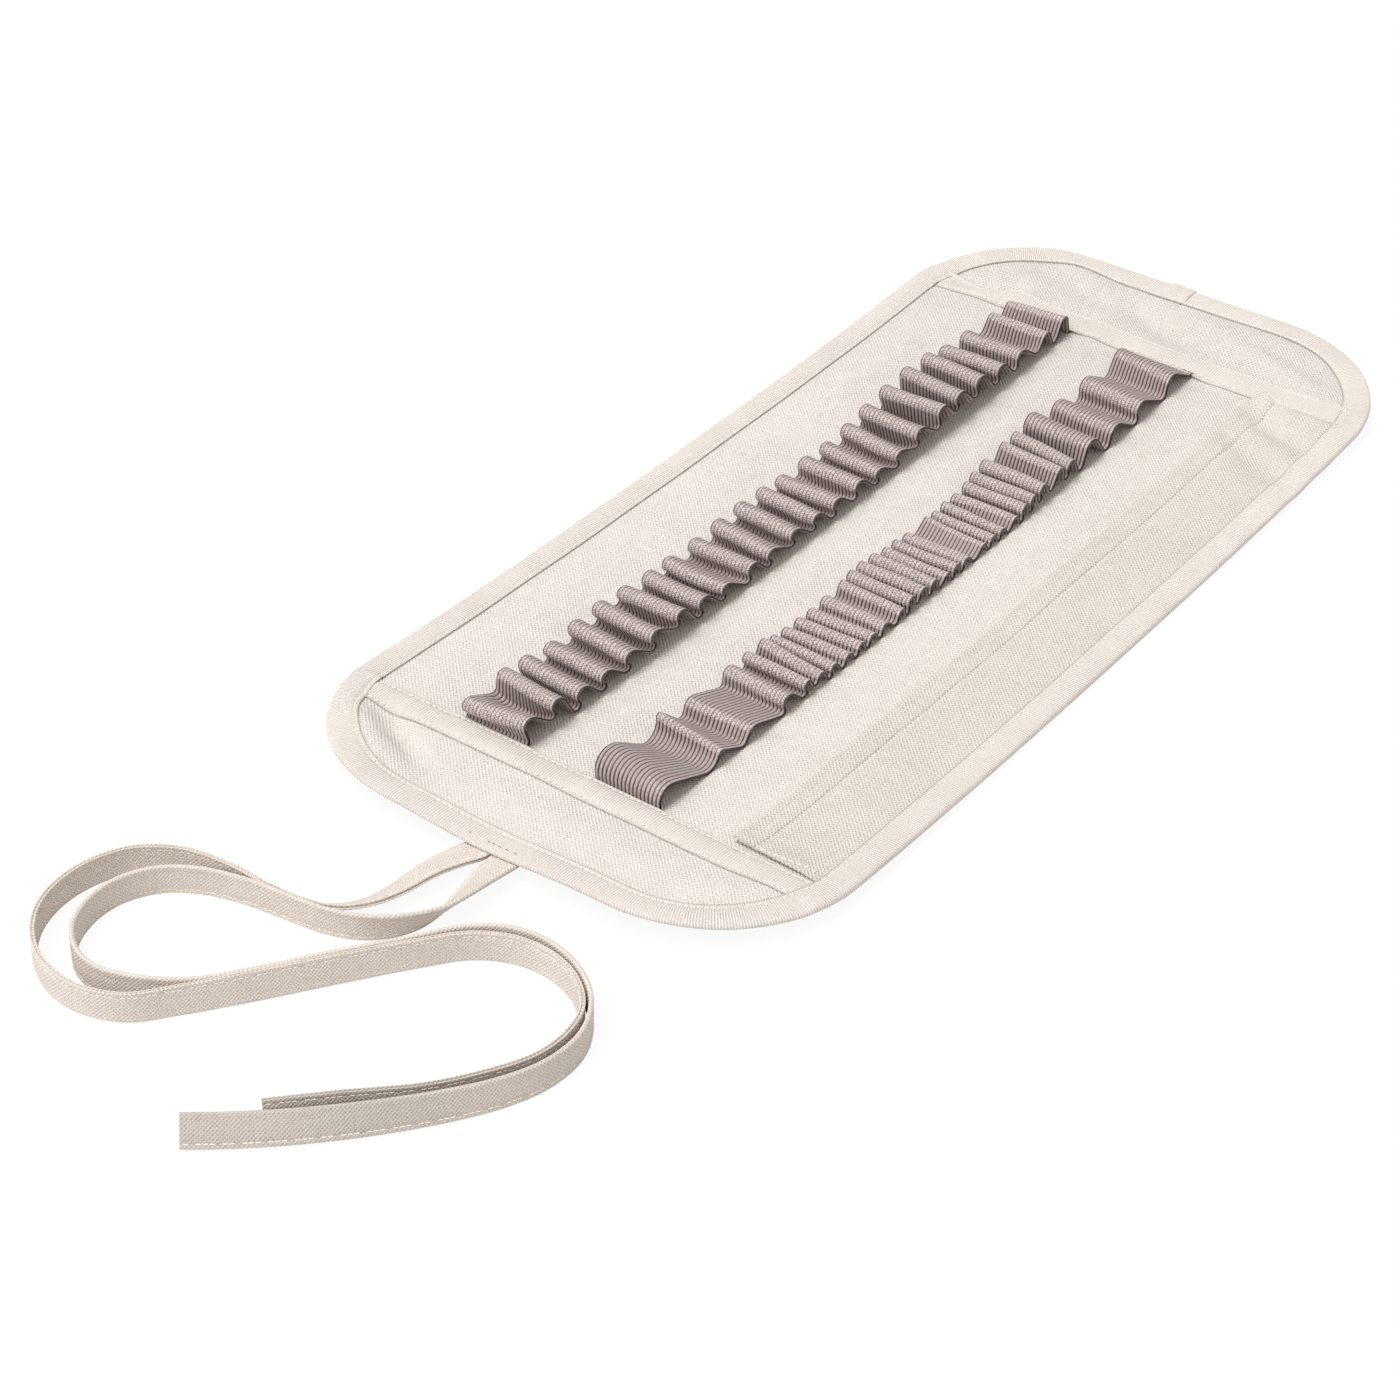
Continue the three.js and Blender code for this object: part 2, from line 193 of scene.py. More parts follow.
# %% [markdown]
# ## How the mat lies
#
# The mat has been rolled up before, so its two ends lift off the table in one long bow, and the cloth
# has soft swells where the sewing pulls. A physics run could make both, but the photograph shows where
# they are, so a formula puts them there. Everything sewn to the mat takes its height from it.

# %% The height of the cloth
LENGTH, WIDTH, CORNER = 524.0, 240.0, 66.5
NEAR_LIFT, FAR_LIFT, BOW_POWER, BOW_END, SWELL_GAIN = 9.0, 8.5, 2.5, 1.02, 1.4
RIPPLE_EDGE, CLEAR_OF_TABLE, LEAST_HEIGHT = 112, 0.15, 0.02
# x, y, direction in degrees, half length, half breadth and height of each swell
SWELLS = np.array([
    (-226, 77, 64, 15, 4.0, -3.6), (-233, 88, 62, 14, 5.0, 2.4), (-222, 98, 20, 12, 6, 1.0),
    (-264, 8, 90, 24, 16, -2.3), (-232, -20, 90, 45, 7, 1.0), (-226, -85, 120, 16, 5, 1.4),
    (216, 82, 110, 15, 4, -3.0), (213, 66, 115, 9, 5, 2.0), (231, 8, 75, 20, 5.5, -3.2),
    (240, 36, 70, 22, 5, 2.6), (226, -60, 78, 24, 4.5, 2.8), (184, -86, 68, 18, 5, -2.6),
    (158, -90, 66, 18, 5.5, -2.2), (240, -45, 90, 24, 6, 2.0), (229, -16, 120, 9, 4, -2.0),
    (196, -44, 70, 9, 4, -1.2), (222, 45, 80, 22, 5, 1.2), (150, 16, 4, 50, 5, 1.4),
    (60, 12, 176, 55, 5, 1.0), (-60, 15, 3, 60, 5, 1.0), (-160, 14, 178, 28, 5, 1.0),
    (96, 16, 150, 10, 3, -0.8), (130, -44, 165, 14, 4, 0.9), (168, -50, 20, 12, 4, -0.7),
    (0, 90, 2, 90, 9, 0.8), (130, 88, 178, 60, 8, 1.2), (-120, 92, 3, 55, 9, 0.8),
    (30, -50, 1, 90, 6, 0.9)])


def ease(t):
    """A soft step: 0 below 0, 1 above 1, and 3t^2 - 2t^3 between them."""
    t = np.clip(t, 0, 1)
    return t * t * (3 - 2 * t)


def span(t, low, high, ramp):
    """1 between two limits and 0 outside them, with a soft ramp centred on each."""
    return ease((t - low) / ramp + 0.5) * ease((high - t) / ramp + 0.5)


def ridge(t, middle, breadth):
    """A soft ridge of height 1: e to the power of minus the square of (distance from its middle /
    breadth)."""
    return np.exp(-((t - middle) / breadth) ** 2)


def lie(x, y):
    """Height of the mat's underside. The bow is the lift times (distance from the middle / half the
    length) to the power 2.5. Each swell is a Gaussian hill or dip, and two crossed sines of sines are a
    faint ripple away from the edges. The sum is kept off the table."""
    bow = np.where(x < 0, NEAR_LIFT, FAR_LIFT) * np.minimum(np.abs(x) / (LENGTH / 2), BOW_END) ** BOW_POWER
    angle = np.radians(SWELLS[:, 2])
    right, up = np.asarray(x)[..., None] - SWELLS[:, 0], np.asarray(y)[..., None] - SWELLS[:, 1]
    along = (right * np.cos(angle) + up * np.sin(angle)) / SWELLS[:, 3]
    across = (up * np.cos(angle) - right * np.sin(angle)) / SWELLS[:, 4]
    hills = SWELL_GAIN * (SWELLS[:, 5] * np.exp(-(along**2 + across**2) / 2)).sum(-1)
    ripple = 0.12 * np.sin(x / 11.3 + 1.7 * np.sin(y / 23)) + 0.1 * np.sin(y / 9.1 + 1.3 * np.sin(x / 31))
    inside = span(y, -RIPPLE_EDGE, RIPPLE_EDGE, 14)
    return np.maximum(bow + hills + ripple * inside + CLEAR_OF_TABLE, LEAST_HEIGHT)


print("lift of the ends:", lie(np.array([-262.0, 262.0]), np.zeros(2)).round(1), "mm")

# %% [markdown]
# ## A closed skin of cloth
#
# A sheet of cloth has two faces and a thin edge. A plane with a Solidify modifier would give one, but
# here the two faces often differ, as where a hem is double, so each face is its own grid of points.
# The chart is the place of each point on the flat, unsewn cloth in millimetres. It becomes the UV map,
# so weave and ribs keep their real size wherever the cloth bends.

# %% Two grids into one piece
# The chart of a sheet's back is moved by this much, so that its weave isn't the front's own.
BACK_SHIFT = 0.37


def stack(*parts):
    """Arrays of one number for each point, spread to one shape, as one array of points."""
    return np.stack(np.broadcast_arrays(*parts), -1)


def put(name, points, faces, chart, finish, sharp=40, bent=None):
    """Makes an object of points in mm, faces, and a chart in mm, smooth but for edges above an angle.
    A pair of values for each point, if given, becomes a second UV map, named bent."""
    mesh = bpy.data.meshes.new(name)
    mesh.from_pydata((points * MM).tolist(), [], faces)
    corners = np.empty(len(mesh.loops), dtype=np.int32)
    mesh.loops.foreach_get("vertex_index", corners)
    mesh.uv_layers.new(name="chart").data.foreach_set("uv", chart[corners].ravel())
    if bent is not None:
        mesh.uv_layers.new(name="bent").data.foreach_set("uv", bent[corners].ravel())
    mesh.polygons.foreach_set("use_smooth", np.ones(len(mesh.polygons), dtype=bool))
    mesh.set_sharp_from_angle(angle=math.radians(sharp))
    mesh.materials.append(finish)
    return show(name, mesh)


def skin(name, upper, lower, chart, finish, sharp=40, bent=None):
    """Both grids become quads, the second facing the other way, and quads between their edges close
    them. If the first face looks away from its own side, all faces are turned over."""
    rows, columns = upper.shape[:2]
    at = np.arange(rows * columns).reshape(rows, columns)
    top = np.stack([at[:-1, :-1], at[1:, :-1], at[1:, 1:], at[:-1, 1:]], -1).reshape(-1, 4)
    edge = np.concatenate([at[:-1, 0], at[-1, :-1], at[:0:-1, -1], at[0, :0:-1]])
    after, count = np.roll(edge, -1), rows * columns
    sides = np.stack([edge, edge + count, after + count, after], -1)
    quads = np.concatenate([top, top[:, ::-1] + count, sides])
    points = np.concatenate([upper.reshape(-1, 3), lower.reshape(-1, 3)])
    facing = np.cross(points[top[:, 2]] - points[top[:, 0]], points[top[:, 3]] - points[top[:, 1]])
    if (facing * (points[top[:, 0]] - points[top[:, 0] + count])).sum() < 0:
        quads = quads[:, ::-1]
    flat = chart.reshape(-1, 2)
    both = None if bent is None else np.tile(bent.reshape(-1, 2), (2, 1))
    return put(name, points, quads.tolist(), np.concatenate([flat, flat + BACK_SHIFT]), finish, sharp, both)


def bend(piece, nodes=()):
    """The piece's placement is baked into its mesh. It takes the place of the nodes, if any."""
    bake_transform(piece)
    if nodes:
        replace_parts(piece, *nodes)


# %% [markdown]
# ## Cotton tape
#
# The binding and the cross strips are one kind of tape: cream cotton, woven with fine ribs across its
# width. Its colour is a little greyer between the ribs and drifts slowly along it, as undyed cotton
# does. It is matt with a faint fuzz, which a rough sheen gives. The real ribs are about 0.6 mm apart.
# They are drawn 1.15 mm apart, because finer ones don't show at this size. The chart's second
# direction is the distance from the tape's cut edge, and the last half millimetre is darker, as
# painted shade of the step at the tape's edge.

# %% Material: ribbed cotton tape
RIB_PITCH = 1.15
TAPE_LIGHT, TAPE_DARK = "#fbf5f0", "#b4a599"


def cloth_shader(name, rough, sheen):
    """A matt cloth with nothing linked yet. Roughness and sheen are the same all over."""
    made = bpy.data.materials.new(name)
    made.use_nodes = True
    surface = made.node_tree.nodes["Principled BSDF"]
    for socket, value in (("Roughness", rough), ("IOR", 1.46), ("Specular IOR Level", 0.25),
                          ("Sheen Weight", sheen), ("Sheen Roughness", 0.6)):
        surface.inputs[socket].default_value = value
    return made, made.node_tree, surface


def split_chart(tree):
    """The chart in mm, and its two directions: along the cloth and across it."""
    chart = add(tree, "UVMap", uv_map="chart")
    parts = add(tree, "SeparateXYZ", [chart]).outputs
    return chart, parts["X"], parts["Y"]


def wave(tree, value, pitch, shift=0.0):
    """A sine of the given pitch in mm, from -1 to 1."""
    scaled = add(tree, "Math", [value, math.tau / pitch, shift], operation="MULTIPLY_ADD")
    return add(tree, "Math", [scaled], operation="SINE")


def drift(tree, place, scale, detail, low, high):
    """Soft noise at so many swells a mm, spread from low to high."""
    noise = add(tree, "TexNoise", {"Vector": place, "Scale": scale, "Detail": detail, "Roughness": 0.6},
                noise_dimensions="2D")
    return add(tree, "MapRange", [noise, 0.3, 0.7, low, high])


def finish_cloth(tree, surface, share, light, dark, tint, height, depth_mm, strength=1.0):
    """Colour goes from dark to light with share, then is multiplied by tint. Height makes the bump."""
    colour = add(tree, "Mix", {"Factor": share, "A": dark, "B": light}, data_type="RGBA")
    tinted = add(tree, "VectorMath", {0: colour, "Scale": tint}, operation="SCALE")
    bump = add(tree, "Bump", {"Height": height, "Distance": depth_mm * MM, "Strength": strength})
    tree.links.new(tinted.outputs[0], surface.inputs["Base Color"])
    tree.links.new(bump.outputs[0], surface.inputs["Normal"])


tape, tree, surface = cloth_shader("ribbed cotton tape", 0.92, 0.12)
place, along, across = split_chart(tree)
fray = drift(tree, place, 1.6, 3, -0.4, 0.4)
height = add(tree, "Math", [wave(tree, along, RIB_PITCH), fray], operation="ADD")
share = add(tree, "MapRange", [height, -2.5, 0.5])
# Painted shade: the last half millimetre at each cut edge of the tape is darker, for the shadow of its
# step.
painted_shade = add(tree, "MapRange", [across, 0.15, 0.55, 0.62, 1.0])
tint = add(tree, "Math", [drift(tree, place, 0.03, 2, 0.95, 1.02), painted_shade], operation="MULTIPLY")
finish_cloth(tree, surface, share, linear(TAPE_LIGHT), linear(TAPE_DARK), tint, height, 0.14)
print("tape:", len(tree.nodes), "nodes")


# %% A plain weave, for the ties and later for the canvas
STREAKS = ((0.09, 1.3, 1), (1.3, 0.09, 1))


def plain_weave(name, light, dark, pitch, depth_mm, shade_ramp=None):
    """Bumps are the product of a sine along the warp and one along the weft, so they lie as on a
    chequered board. Two noises, each stretched along one yarn, add the streaks. If the last argument gives
    two distances along the cloth and a share, the colour darkens to that share from the first to the
    second, as painted shade."""
    made, tree, surface = cloth_shader(name, 0.94, 0.12)
    place, along, across = split_chart(tree)
    sines = [wave(tree, way, 2 * pitch) for way in (along, across)]
    crossing = add(tree, "Math", sines, operation="MULTIPLY")
    pulled = [add(tree, "VectorMath", [place, stretch], operation="MULTIPLY") for stretch in STREAKS]
    yarn = add(tree, "Math", [drift(tree, one, 1.0, 2, -0.28, 0.28) for one in pulled], operation="ADD")
    height = add(tree, "Math", [crossing, yarn], operation="ADD")
    share = add(tree, "MapRange", [height, -2.3, 0.35])
    tint = drift(tree, place, 0.022, 2, 0.965, 1.02)
    if shade_ramp:
        start, end, darkest = shade_ramp
        # Painted shade: the colour darkens along the cloth between two distances.
        painted_shade = add(tree, "MapRange", [along, start, end, 1.0, darkest])
        tint = add(tree, "Math", [tint, painted_shade], operation="MULTIPLY")
    finish_cloth(tree, surface, share, linear(light), linear(dark), tint, height, depth_mm)
    return made


# Painted shade: from 420 to 530 mm from its root the tie darkens to 0.76, as that face is turned from the
# light.
tie_cloth = plain_weave("folded cotton tie", "#f1e8e0", "#bbafa5", 0.8, 0.15, (420, 530, 0.76))
print("tie cloth:", len(tie_cloth.node_tree.nodes), "nodes")

# %% [markdown]
# ## Sewing thread
#
# The stitches are small, 2.3 mm long and 3 mm apart, and pull into the cloth at both ends, where their
# colour turns darker as painted shade of the needle holes. Hundreds of them are needed, so each is a
# lens of five rings with five sides. One stitch is made once, as an array, and numpy sets a copy on
# every place of a seam in one sum.

# %% Material and shape of a stitch
STITCH_LENGTH, STITCH_PITCH, THREAD = 2.3, 3.0, 0.56
STITCH_SAG, STITCH_SIDES = 0.28, 5


def spun_thread(name, hole_shade, middle):
    """The chart's first direction runs from -1 to 1 along each stitch. Near both ends the colour
    goes from that of the middle to a darker one, painted shade of the needle holes."""
    made, tree, surface = cloth_shader(name, 0.8, 0.1)
    reach = add(tree, "Math", [split_chart(tree)[1]], operation="ABSOLUTE")
    share = add(tree, "MapRange", [reach, 1.0, 0.75])
    colour = add(tree, "Mix", {"Factor": share, "A": linear(hole_shade), "B": linear(middle)}, data_type="RGBA")
    tree.links.new(colour.outputs["Result"], surface.inputs["Base Color"])
    return made


# Each thread's first colour, the darker one at its stitch ends, is painted shade of the needle holes.
thread = spun_thread("cotton sewing thread", "#9a8c7b", "#faf4ea")
grey_thread = spun_thread("grey sewing thread", "#5a4b46", "#a09089")

ring_at = np.array([-1, -0.72, 0, 0.72, 1])[:, None]
ring_size = np.array([0.35, 0.85, 1, 0.85, 0.35])[:, None] * THREAD / 2
side_at = np.arange(STITCH_SIDES) * math.tau / STITCH_SIDES
stitch = stack(ring_at * STITCH_LENGTH / 2, ring_size * np.cos(side_at),
               ring_size * np.sin(side_at) - STITCH_SAG * ring_at**4).reshape(-1, 3)
stitch_chart = stack(ring_at, side_at).reshape(-1, 2)
ring, side = np.meshgrid(np.arange(len(ring_at) - 1), np.arange(STITCH_SIDES), indexing="ij")
corner = (ring * STITCH_SIDES + side).ravel()
beside = (ring * STITCH_SIDES + (side + 1) % STITCH_SIDES).ravel()
stitch_quads = np.stack([corner, beside, beside + STITCH_SIDES, corner + STITCH_SIDES], -1)[:, ::-1]
stitch_caps = np.arange(STITCH_SIDES), np.arange(len(stitch))[:-STITCH_SIDES - 1:-1]


def seam(name, places, directions, up, finish=thread, size=1.0):
    """A row of stitches: each point of the stitch is place + along x direction + side + up, so all
    stitches come from one sum over arrays of places, directions and ups."""
    directions = directions / np.linalg.norm(directions, axis=1, keepdims=True)
    sides = np.cross(up, directions)
    sides /= np.linalg.norm(sides, axis=1, keepdims=True)
    axes = np.stack([directions, sides, np.cross(directions, sides)], 1)
    points = places[:, None, :] + np.einsum("pk,nkc->npc", stitch * size, axes)
    shift = np.arange(len(places))[:, None] * len(stitch)
    quads = (stitch_quads[None] + shift[:, None]).reshape(-1, 4).tolist()
    first, last = ((cap + shift).tolist() for cap in stitch_caps)
    chart = np.tile(stitch_chart, (len(places), 1))
    return put(name, points.reshape(-1, 3), quads + first + last, chart, finish, 70)


print("a stitch has", len(stitch), "points and", len(stitch_quads) + len(stitch_caps), "faces")

# %% [markdown]
# ## The two ties
#
# Each tie is a strip of finer cloth folded in half lengthways and stitched shut, 12.7 mm wide and 2 mm
# thick. It starts flat under the lifted end of the mat, turns a quarter on its way down, and then
# stands on its edge on the table, where it makes an open loop and runs out to its raw end. A curve
# with a bevel would twist where it likes, so the turn is given: a smooth line is drawn through points
# read from the photograph, and at each step along it one direction across the tape is worked out.

# %% The line of a tie
SHORT_ROOT, LONG_ROOT = 8.0, -5.2
SHORT_ROUTE = [
    (-272.5, 12), (-284, 15), (-296, 17.3), (-308, 21), (-316.8, 27.4), (-322.6, 37.5), (-326.5, 50),
    (-328.8, 70), (-333, 90), (-343, 105), (-357, 112.5), (-374, 114), (-390, 109), (-403, 97.5),
    (-410.5, 82), (-411.5, 66), (-405, 49.5), (-390, 36.5), (-370, 21.5), (-349, 6.5), (-322, -13.5),
    (-306, -27), (-298.5, -41), (-297, -55), (-301, -70), (-312, -83), (-326, -87.5), (-342, -86),
    (-360, -77), (-377, -65), (-396, -46), (-416, -27)]
LONG_ROUTE = [
    (-274.4, -5.4), (-287, -5.7), (-299, -5.0), (-310.6, -0.1), (-320.6, 9.8), (-326.6, 23.4),
    (-329.4, 40.3), (-332, 59), (-338, 78), (-347, 90.5), (-360, 97.5), (-374, 98), (-388, 92.5),
    (-397, 82), (-400, 69), (-396, 54.5), (-385, 36.8), (-368.5, 22.8), (-347.4, 8), (-321.4, -11),
    (-304.2, -23.4), (-295, -36.6), (-292.5, -51), (-296.5, -68), (-307, -83), (-323, -91.5),
    (-341, -91.5), (-358, -85), (-376, -73), (-396, -56), (-414, -38), (-428, -22), (-438, -9)]


def through(points, steps=24):
    """A smooth line through points, as cubic pieces. Each point is passed in the direction that a
    parabola through it and its neighbours has there, with the knots set apart by the square root of
    the distance between points, which keeps the line from looping."""
    points = np.asarray(points, float)
    p = np.concatenate([[2 * points[0] - points[1]], points, [2 * points[-1] - points[-2]]])
    gap = np.linalg.norm(np.diff(p, axis=0), axis=1) ** 0.5
    g0, g1, g2 = gap[:-2, None], gap[1:-1, None], gap[2:, None]
    p0, p1, p2, p3 = p[:-3], p[1:-2], p[2:-1], p[3:]
    out = ((p1 - p0) / g0 - (p2 - p0) / (g0 + g1) + (p2 - p1) / g1) * g1
    into = ((p2 - p1) / g1 - (p3 - p1) / (g1 + g2) + (p3 - p2) / g2) * g1
    t = np.linspace(0, 1, steps, endpoint=False)[None, :, None]
    p1, p2, out, into = (a[:, None] for a in (p1, p2, out, into))
    line = p1 + out * t + (3 * (p2 - p1) - 2 * out - into) * t**2 + (2 * (p1 - p2) + out + into) * t**3
    return np.concatenate([line.reshape(-1, points.shape[1]), points[-1:]])


def even(line, step):
    """The same line with its points an even distance apart, and the distance walked to each."""
    walked = np.concatenate([[0], np.cumsum(np.linalg.norm(np.diff(line, axis=0), axis=1))])
    at = np.linspace(0, walked[-1], round(walked[-1] / step) + 1)
    return np.stack([np.interp(at, walked, line[:, i]) for i in range(line.shape[1])], -1), at


print("routes of", len(SHORT_ROUTE), "and", len(LONG_ROUTE), "points")

# %% A folded tape that turns as it goes
TIE_WIDTH, TIE_THICK, TIE_STEP = 12.7, 2.0, 2.2
ROOT_LENGTH, DROP_LENGTH, ROOT_X, MAT_EDGE_X = 10.0, 44.0, -252, -260.7
# The seam runs at these shares of half the width and of the thickness.
TIE_SEAM_OUT, TIE_SEAM_DEEP = 0.72, 0.36
# The section from the folded edge to the open one, as (share of half the width, share of half the
# thickness). It goes round the lip and back down into the gap between the two layers.
FACE = np.array([
    (-1, 0.12), (-0.985, 0.55), (-0.93, 0.9), (-0.8, 1), (-0.62, 0.86), (-0.4, 0.95), (0, 1),
    (0.4, 0.95), (0.66, 0.9), (0.72, 0.72), (0.78, 0.9), (0.9, 1), (0.975, 0.95), (1, 0.72),
    (0.985, 0.42), (0.9, 0.22)])


def tie(name, node, root_y, route, open_edge, turns):
    """Rows of the section along the line. The direction across the tape is turned from upright by an
    angle: turns gives it in degrees at some distances from the root, and a smooth line joins them."""
    line, _ = even(through([(ROOT_X, root_y), (MAT_EDGE_X, root_y)] + route), 1.0)
    line, walked = even(line, TIE_STEP)
    walked = walked - ROOT_LENGTH
    turn = np.radians(np.interp(walked, *through(turns).T))
    ahead = np.gradient(line, axis=0)
    ahead /= np.linalg.norm(ahead, axis=1, keepdims=True)
    left = stack(-ahead[:, 1], ahead[:, 0], 0)
    wide = left * np.sin(turn)[:, None] + np.array([0, 0, 1]) * np.cos(turn)[:, None]
    thin = np.cross(stack(*ahead.T, 0), wide)
    standing = (TIE_WIDTH * np.abs(np.cos(turn)) + TIE_THICK * np.abs(np.sin(turn))) / 2
    hung = lie(*line.T) - 0.1 - TIE_THICK / 2
    middle = stack(*line.T, np.maximum(standing, hung + (standing - hung) * ease(walked / DROP_LENGTH)))
    out = FACE * [open_edge * TIE_WIDTH / 2, TIE_THICK / 2]
    upper, lower = (middle[:, None] + wide[:, None] * out[:, :1] + sign * thin[:, None] * out[:, 1:]
                    for sign in (1, -1))
    chart = stack(walked[:, None], out[:, 0])
    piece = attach(skin(name, upper, lower, chart, tie_cloth), bodies[0])
    stitch_rows, _ = even(np.arange(len(walked), dtype=float)[:, None], STITCH_PITCH / TIE_STEP)
    at = np.clip(stitch_rows[3:-1, 0].round().astype(int), 1, len(walked) - 2)
    across = wide[at] * open_edge * TIE_SEAM_OUT * TIE_WIDTH / 2
    forward = middle[at + 1] - middle[at - 1]
    outwards = thin[at] * (TIE_THICK * TIE_SEAM_DEEP + 0.1)
    rows = [seam(f"{name}_seam_{side}", middle[at] + across + sign * outwards, forward, sign * thin[at])
            for side, sign in (("a", 1), ("b", -1))]
    for row in rows:
        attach(row, bodies[0])
    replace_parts(piece, node)
    length = np.linalg.norm(np.diff(middle, axis=0), axis=1).sum()
    print(name, "is", round(length), "mm long")


# Distance from the root in mm, and the turn from upright there in degrees
SHORT_TURNS = [
    (-12, 90), (0, 87), (20, 73), (40, 62), (62, 51), (85, 24), (110, 3), (160, 0), (250, 4), (310, 9),
    (380, 4), (480, 2), (540, -6), (595, -16)]
LONG_TURNS = [
    (-12, 90), (0, 84), (12, 68), (31, 44), (50, 18), (72, 2), (150, 0), (250, 4), (310, 9), (380, 4),
    (440, 0), (500, -14), (550, -30), (608, -38)]
tie("tie_short", "short_tie", SHORT_ROOT, SHORT_ROUTE, 1, SHORT_TURNS)
tie("tie_long", "long_tie", LONG_ROOT, LONG_ROUTE, -1, LONG_TURNS)

# %% [markdown]
# ## Canvas
#
# The mat and the pocket are undyed cotton canvas, a plain weave of soft yarn. Each crossing is a small
# bump, and thick and thin yarn gives faint streaks both ways. In the photograph the diagonal rows of the
# crossings are 1.33 mm apart, so the yarns are 0.94 mm apart. The pocket is a shade greyer than the
# mat. The mat's colour darkens towards its far end: painted shade.

# %% Material: plain-woven cotton canvas
YARN_PITCH, YARN_DEPTH = 0.94, 0.26
# Painted shade: the mat's canvas darkens from x = 60 to 230 mm, to 0.91 of its colour.
canvas = plain_weave("plain-woven cotton canvas", "#fff9f4", "#a8998d", YARN_PITCH, YARN_DEPTH,
                     (60, 230, 0.91))
pocket_canvas = plain_weave("plain-woven pocket canvas", "#f3ede6", "#a4978d", YARN_PITCH, YARN_DEPTH)
print("yarns drawn", YARN_PITCH, "mm apart")

# %% [markdown]
# ## The base cloth
#
# The base is one sheet of canvas with round corners. To roll up it has to bend at nine fold lines, and
# a piece may bend at one line only, so the sheet is made in nine lengths, each from the middle of one
# bay to the middle of the next. Where two lengths meet the mat never bends, so the joins don't show.
# Rows run along the mat, and the columns of each row spread to the width that the mat has there.

# %% The grid of the mat
CLOTH_LOW, CLOTH_HIGH = 0.7, 1.5
# The cloth stops this far inside the fold of the binding. Rows are a step apart along the mat.
CLOTH_INSET, ROW_STEP, CLOTH_COLUMNS, CORNER_ROWS = 1.2, 1.5, 111, 40
ENDS = [-LENGTH / 2, *cut_x, LENGTH / 2]
straight_x, straight_y = LENGTH / 2 - CORNER, WIDTH / 2 - CORNER


def half_width(x, inset):
    """Half the mat's width at x: straight sides, then a quarter circle round each corner."""
    past = np.clip(np.abs(x) - straight_x, 0, CORNER - inset)
    return straight_y + np.sqrt((CORNER - inset) ** 2 - past**2)


def stations(low, high):
    """Places along the mat: even steps on the straight, and even steps of angle round a corner."""
    corner = straight_x + (CORNER - CLOTH_INSET) * np.sin(np.linspace(0, math.pi / 2, CORNER_ROWS))
    every = np.concatenate([-corner[::-1], np.arange(-straight_x + ROW_STEP, straight_x, ROW_STEP), corner])
    low, high = max(low, every[0]), min(high, every[-1])
    between = (every > low + ROW_STEP / 4) & (every < high - ROW_STEP / 4)
    return np.concatenate([[low], every[between], [high]])


for length in range(1, 10):
    x = stations(ENDS[length - 1], ENDS[length])[:, None]
    full = 2 * half_width(x, CLOTH_INSET)
    y = np.linspace(-1, 1, CLOTH_COLUMNS) * full / 2
    sheet = lie(x, y)
    cloth = skin(f"base_cloth_{length}", stack(x, y, sheet + CLOTH_HIGH), stack(x, y, sheet + CLOTH_LOW),
                 stack(x, y), canvas)
    nodes = {1: ["near_panel", "cloth_1"], 9: ["far_panel"]}.get(length, [f"cloth_{length}"])
    bend(cloth, nodes)
    area = ((full[1:] + full[:-1]) / 2 * np.diff(x, axis=0)).sum()
    np.ptp(x) * MM
print("the base cloth is in", length, "lengths")

# %% [markdown]
# ## Edge binding
#
# The binding is the tape folded in half over the raw edge of the canvas and stitched through 1.5 mm
# from its inner edge. Its outer fold is plump, and the seam pulls a shallow groove. It could be a curve
# with a bevel, but the layers under it differ, as over the pocket and the strips, so the section is
# carried along the outline as a grid: each row has the same number of points, from the inner edge on
# top, round the fold, to the inner edge below. At the far end the tape laps over its own start.

# %% The outline and the section of the binding
TAPE_WIDTH, TAPE_THICK, SEAM_INSET = 12.7, 0.6, 11.1
# Height of the binding's face over the mat's underside, and how far in its outer fold is round
BINDING_TOP, FOLD_DEPTH = 2.25, 1.3
NEAR_STRIP, FAR_STRIP = (-217.0, -203.0), (200.0, 214.0)
POCKET_ENDS = (-202.3, 199.6)
LAP_Y, LAP_LENGTH = -1.0, 14.0

quarter = math.pi / 2 * CORNER
legs = [straight_x, quarter, 2 * straight_y, quarter, straight_x]
LEG_ENDS = np.concatenate([[0], np.cumsum(legs[:-1] + [2 * straight_x] + legs[1:])])
AROUND = LEG_ENDS[-1]
print("the binding is", round(AROUND), "mm long")


def outline(s):
    """A point of the mat's edge and the direction out of the mat there. Every point is a corner's
    radius out from a smaller rectangle, in a direction that turns a quarter round each corner."""
    s = np.mod(s, AROUND)
    centre = stack(np.interp(s, LEG_ENDS, straight_x * np.array([0, -1, -1, -1, -1, 1, 1, 1, 1, 0])),
                   np.interp(s, LEG_ENDS, straight_y * np.array([1, 1, 1, -1, -1, -1, -1, 1, 1, 1])))
    angle = np.interp(s, LEG_ENDS, math.pi / 2 * np.array([1, 1, 2, 2, 3, 3, 4, 4, 5, 5]))
    out = stack(np.cos(angle), np.sin(angle))
    return centre + CORNER * out, out


def layers(edge, out, far):
    """How much thicker the mat is under the binding, 3 mm in from its edge: one tape more at the
    strips, the pocket's cloth along its side, and a tape more where the binding laps over its own
    start. The lap is turned down at the inner edge, which far, the distance from the outer one, tells."""
    x, y = np.moveaxis(edge - 3 * out, -1, 0)
    strips = span(x, *NEAR_STRIP, 3) + span(x, *FAR_STRIP, 3)
    pocket = span(x, *POCKET_ENDS, 3) * (y < 0)
    lap = (x > straight_x) * (y > LAP_Y) * ease((LAP_Y + LAP_LENGTH - y) / 3) * (np.abs(y) < straight_y)
    return 0.7 * strips + 0.7 * pocket + 1.25 * lap * (1 - 0.9 * ease((far - 9.4) / 3))


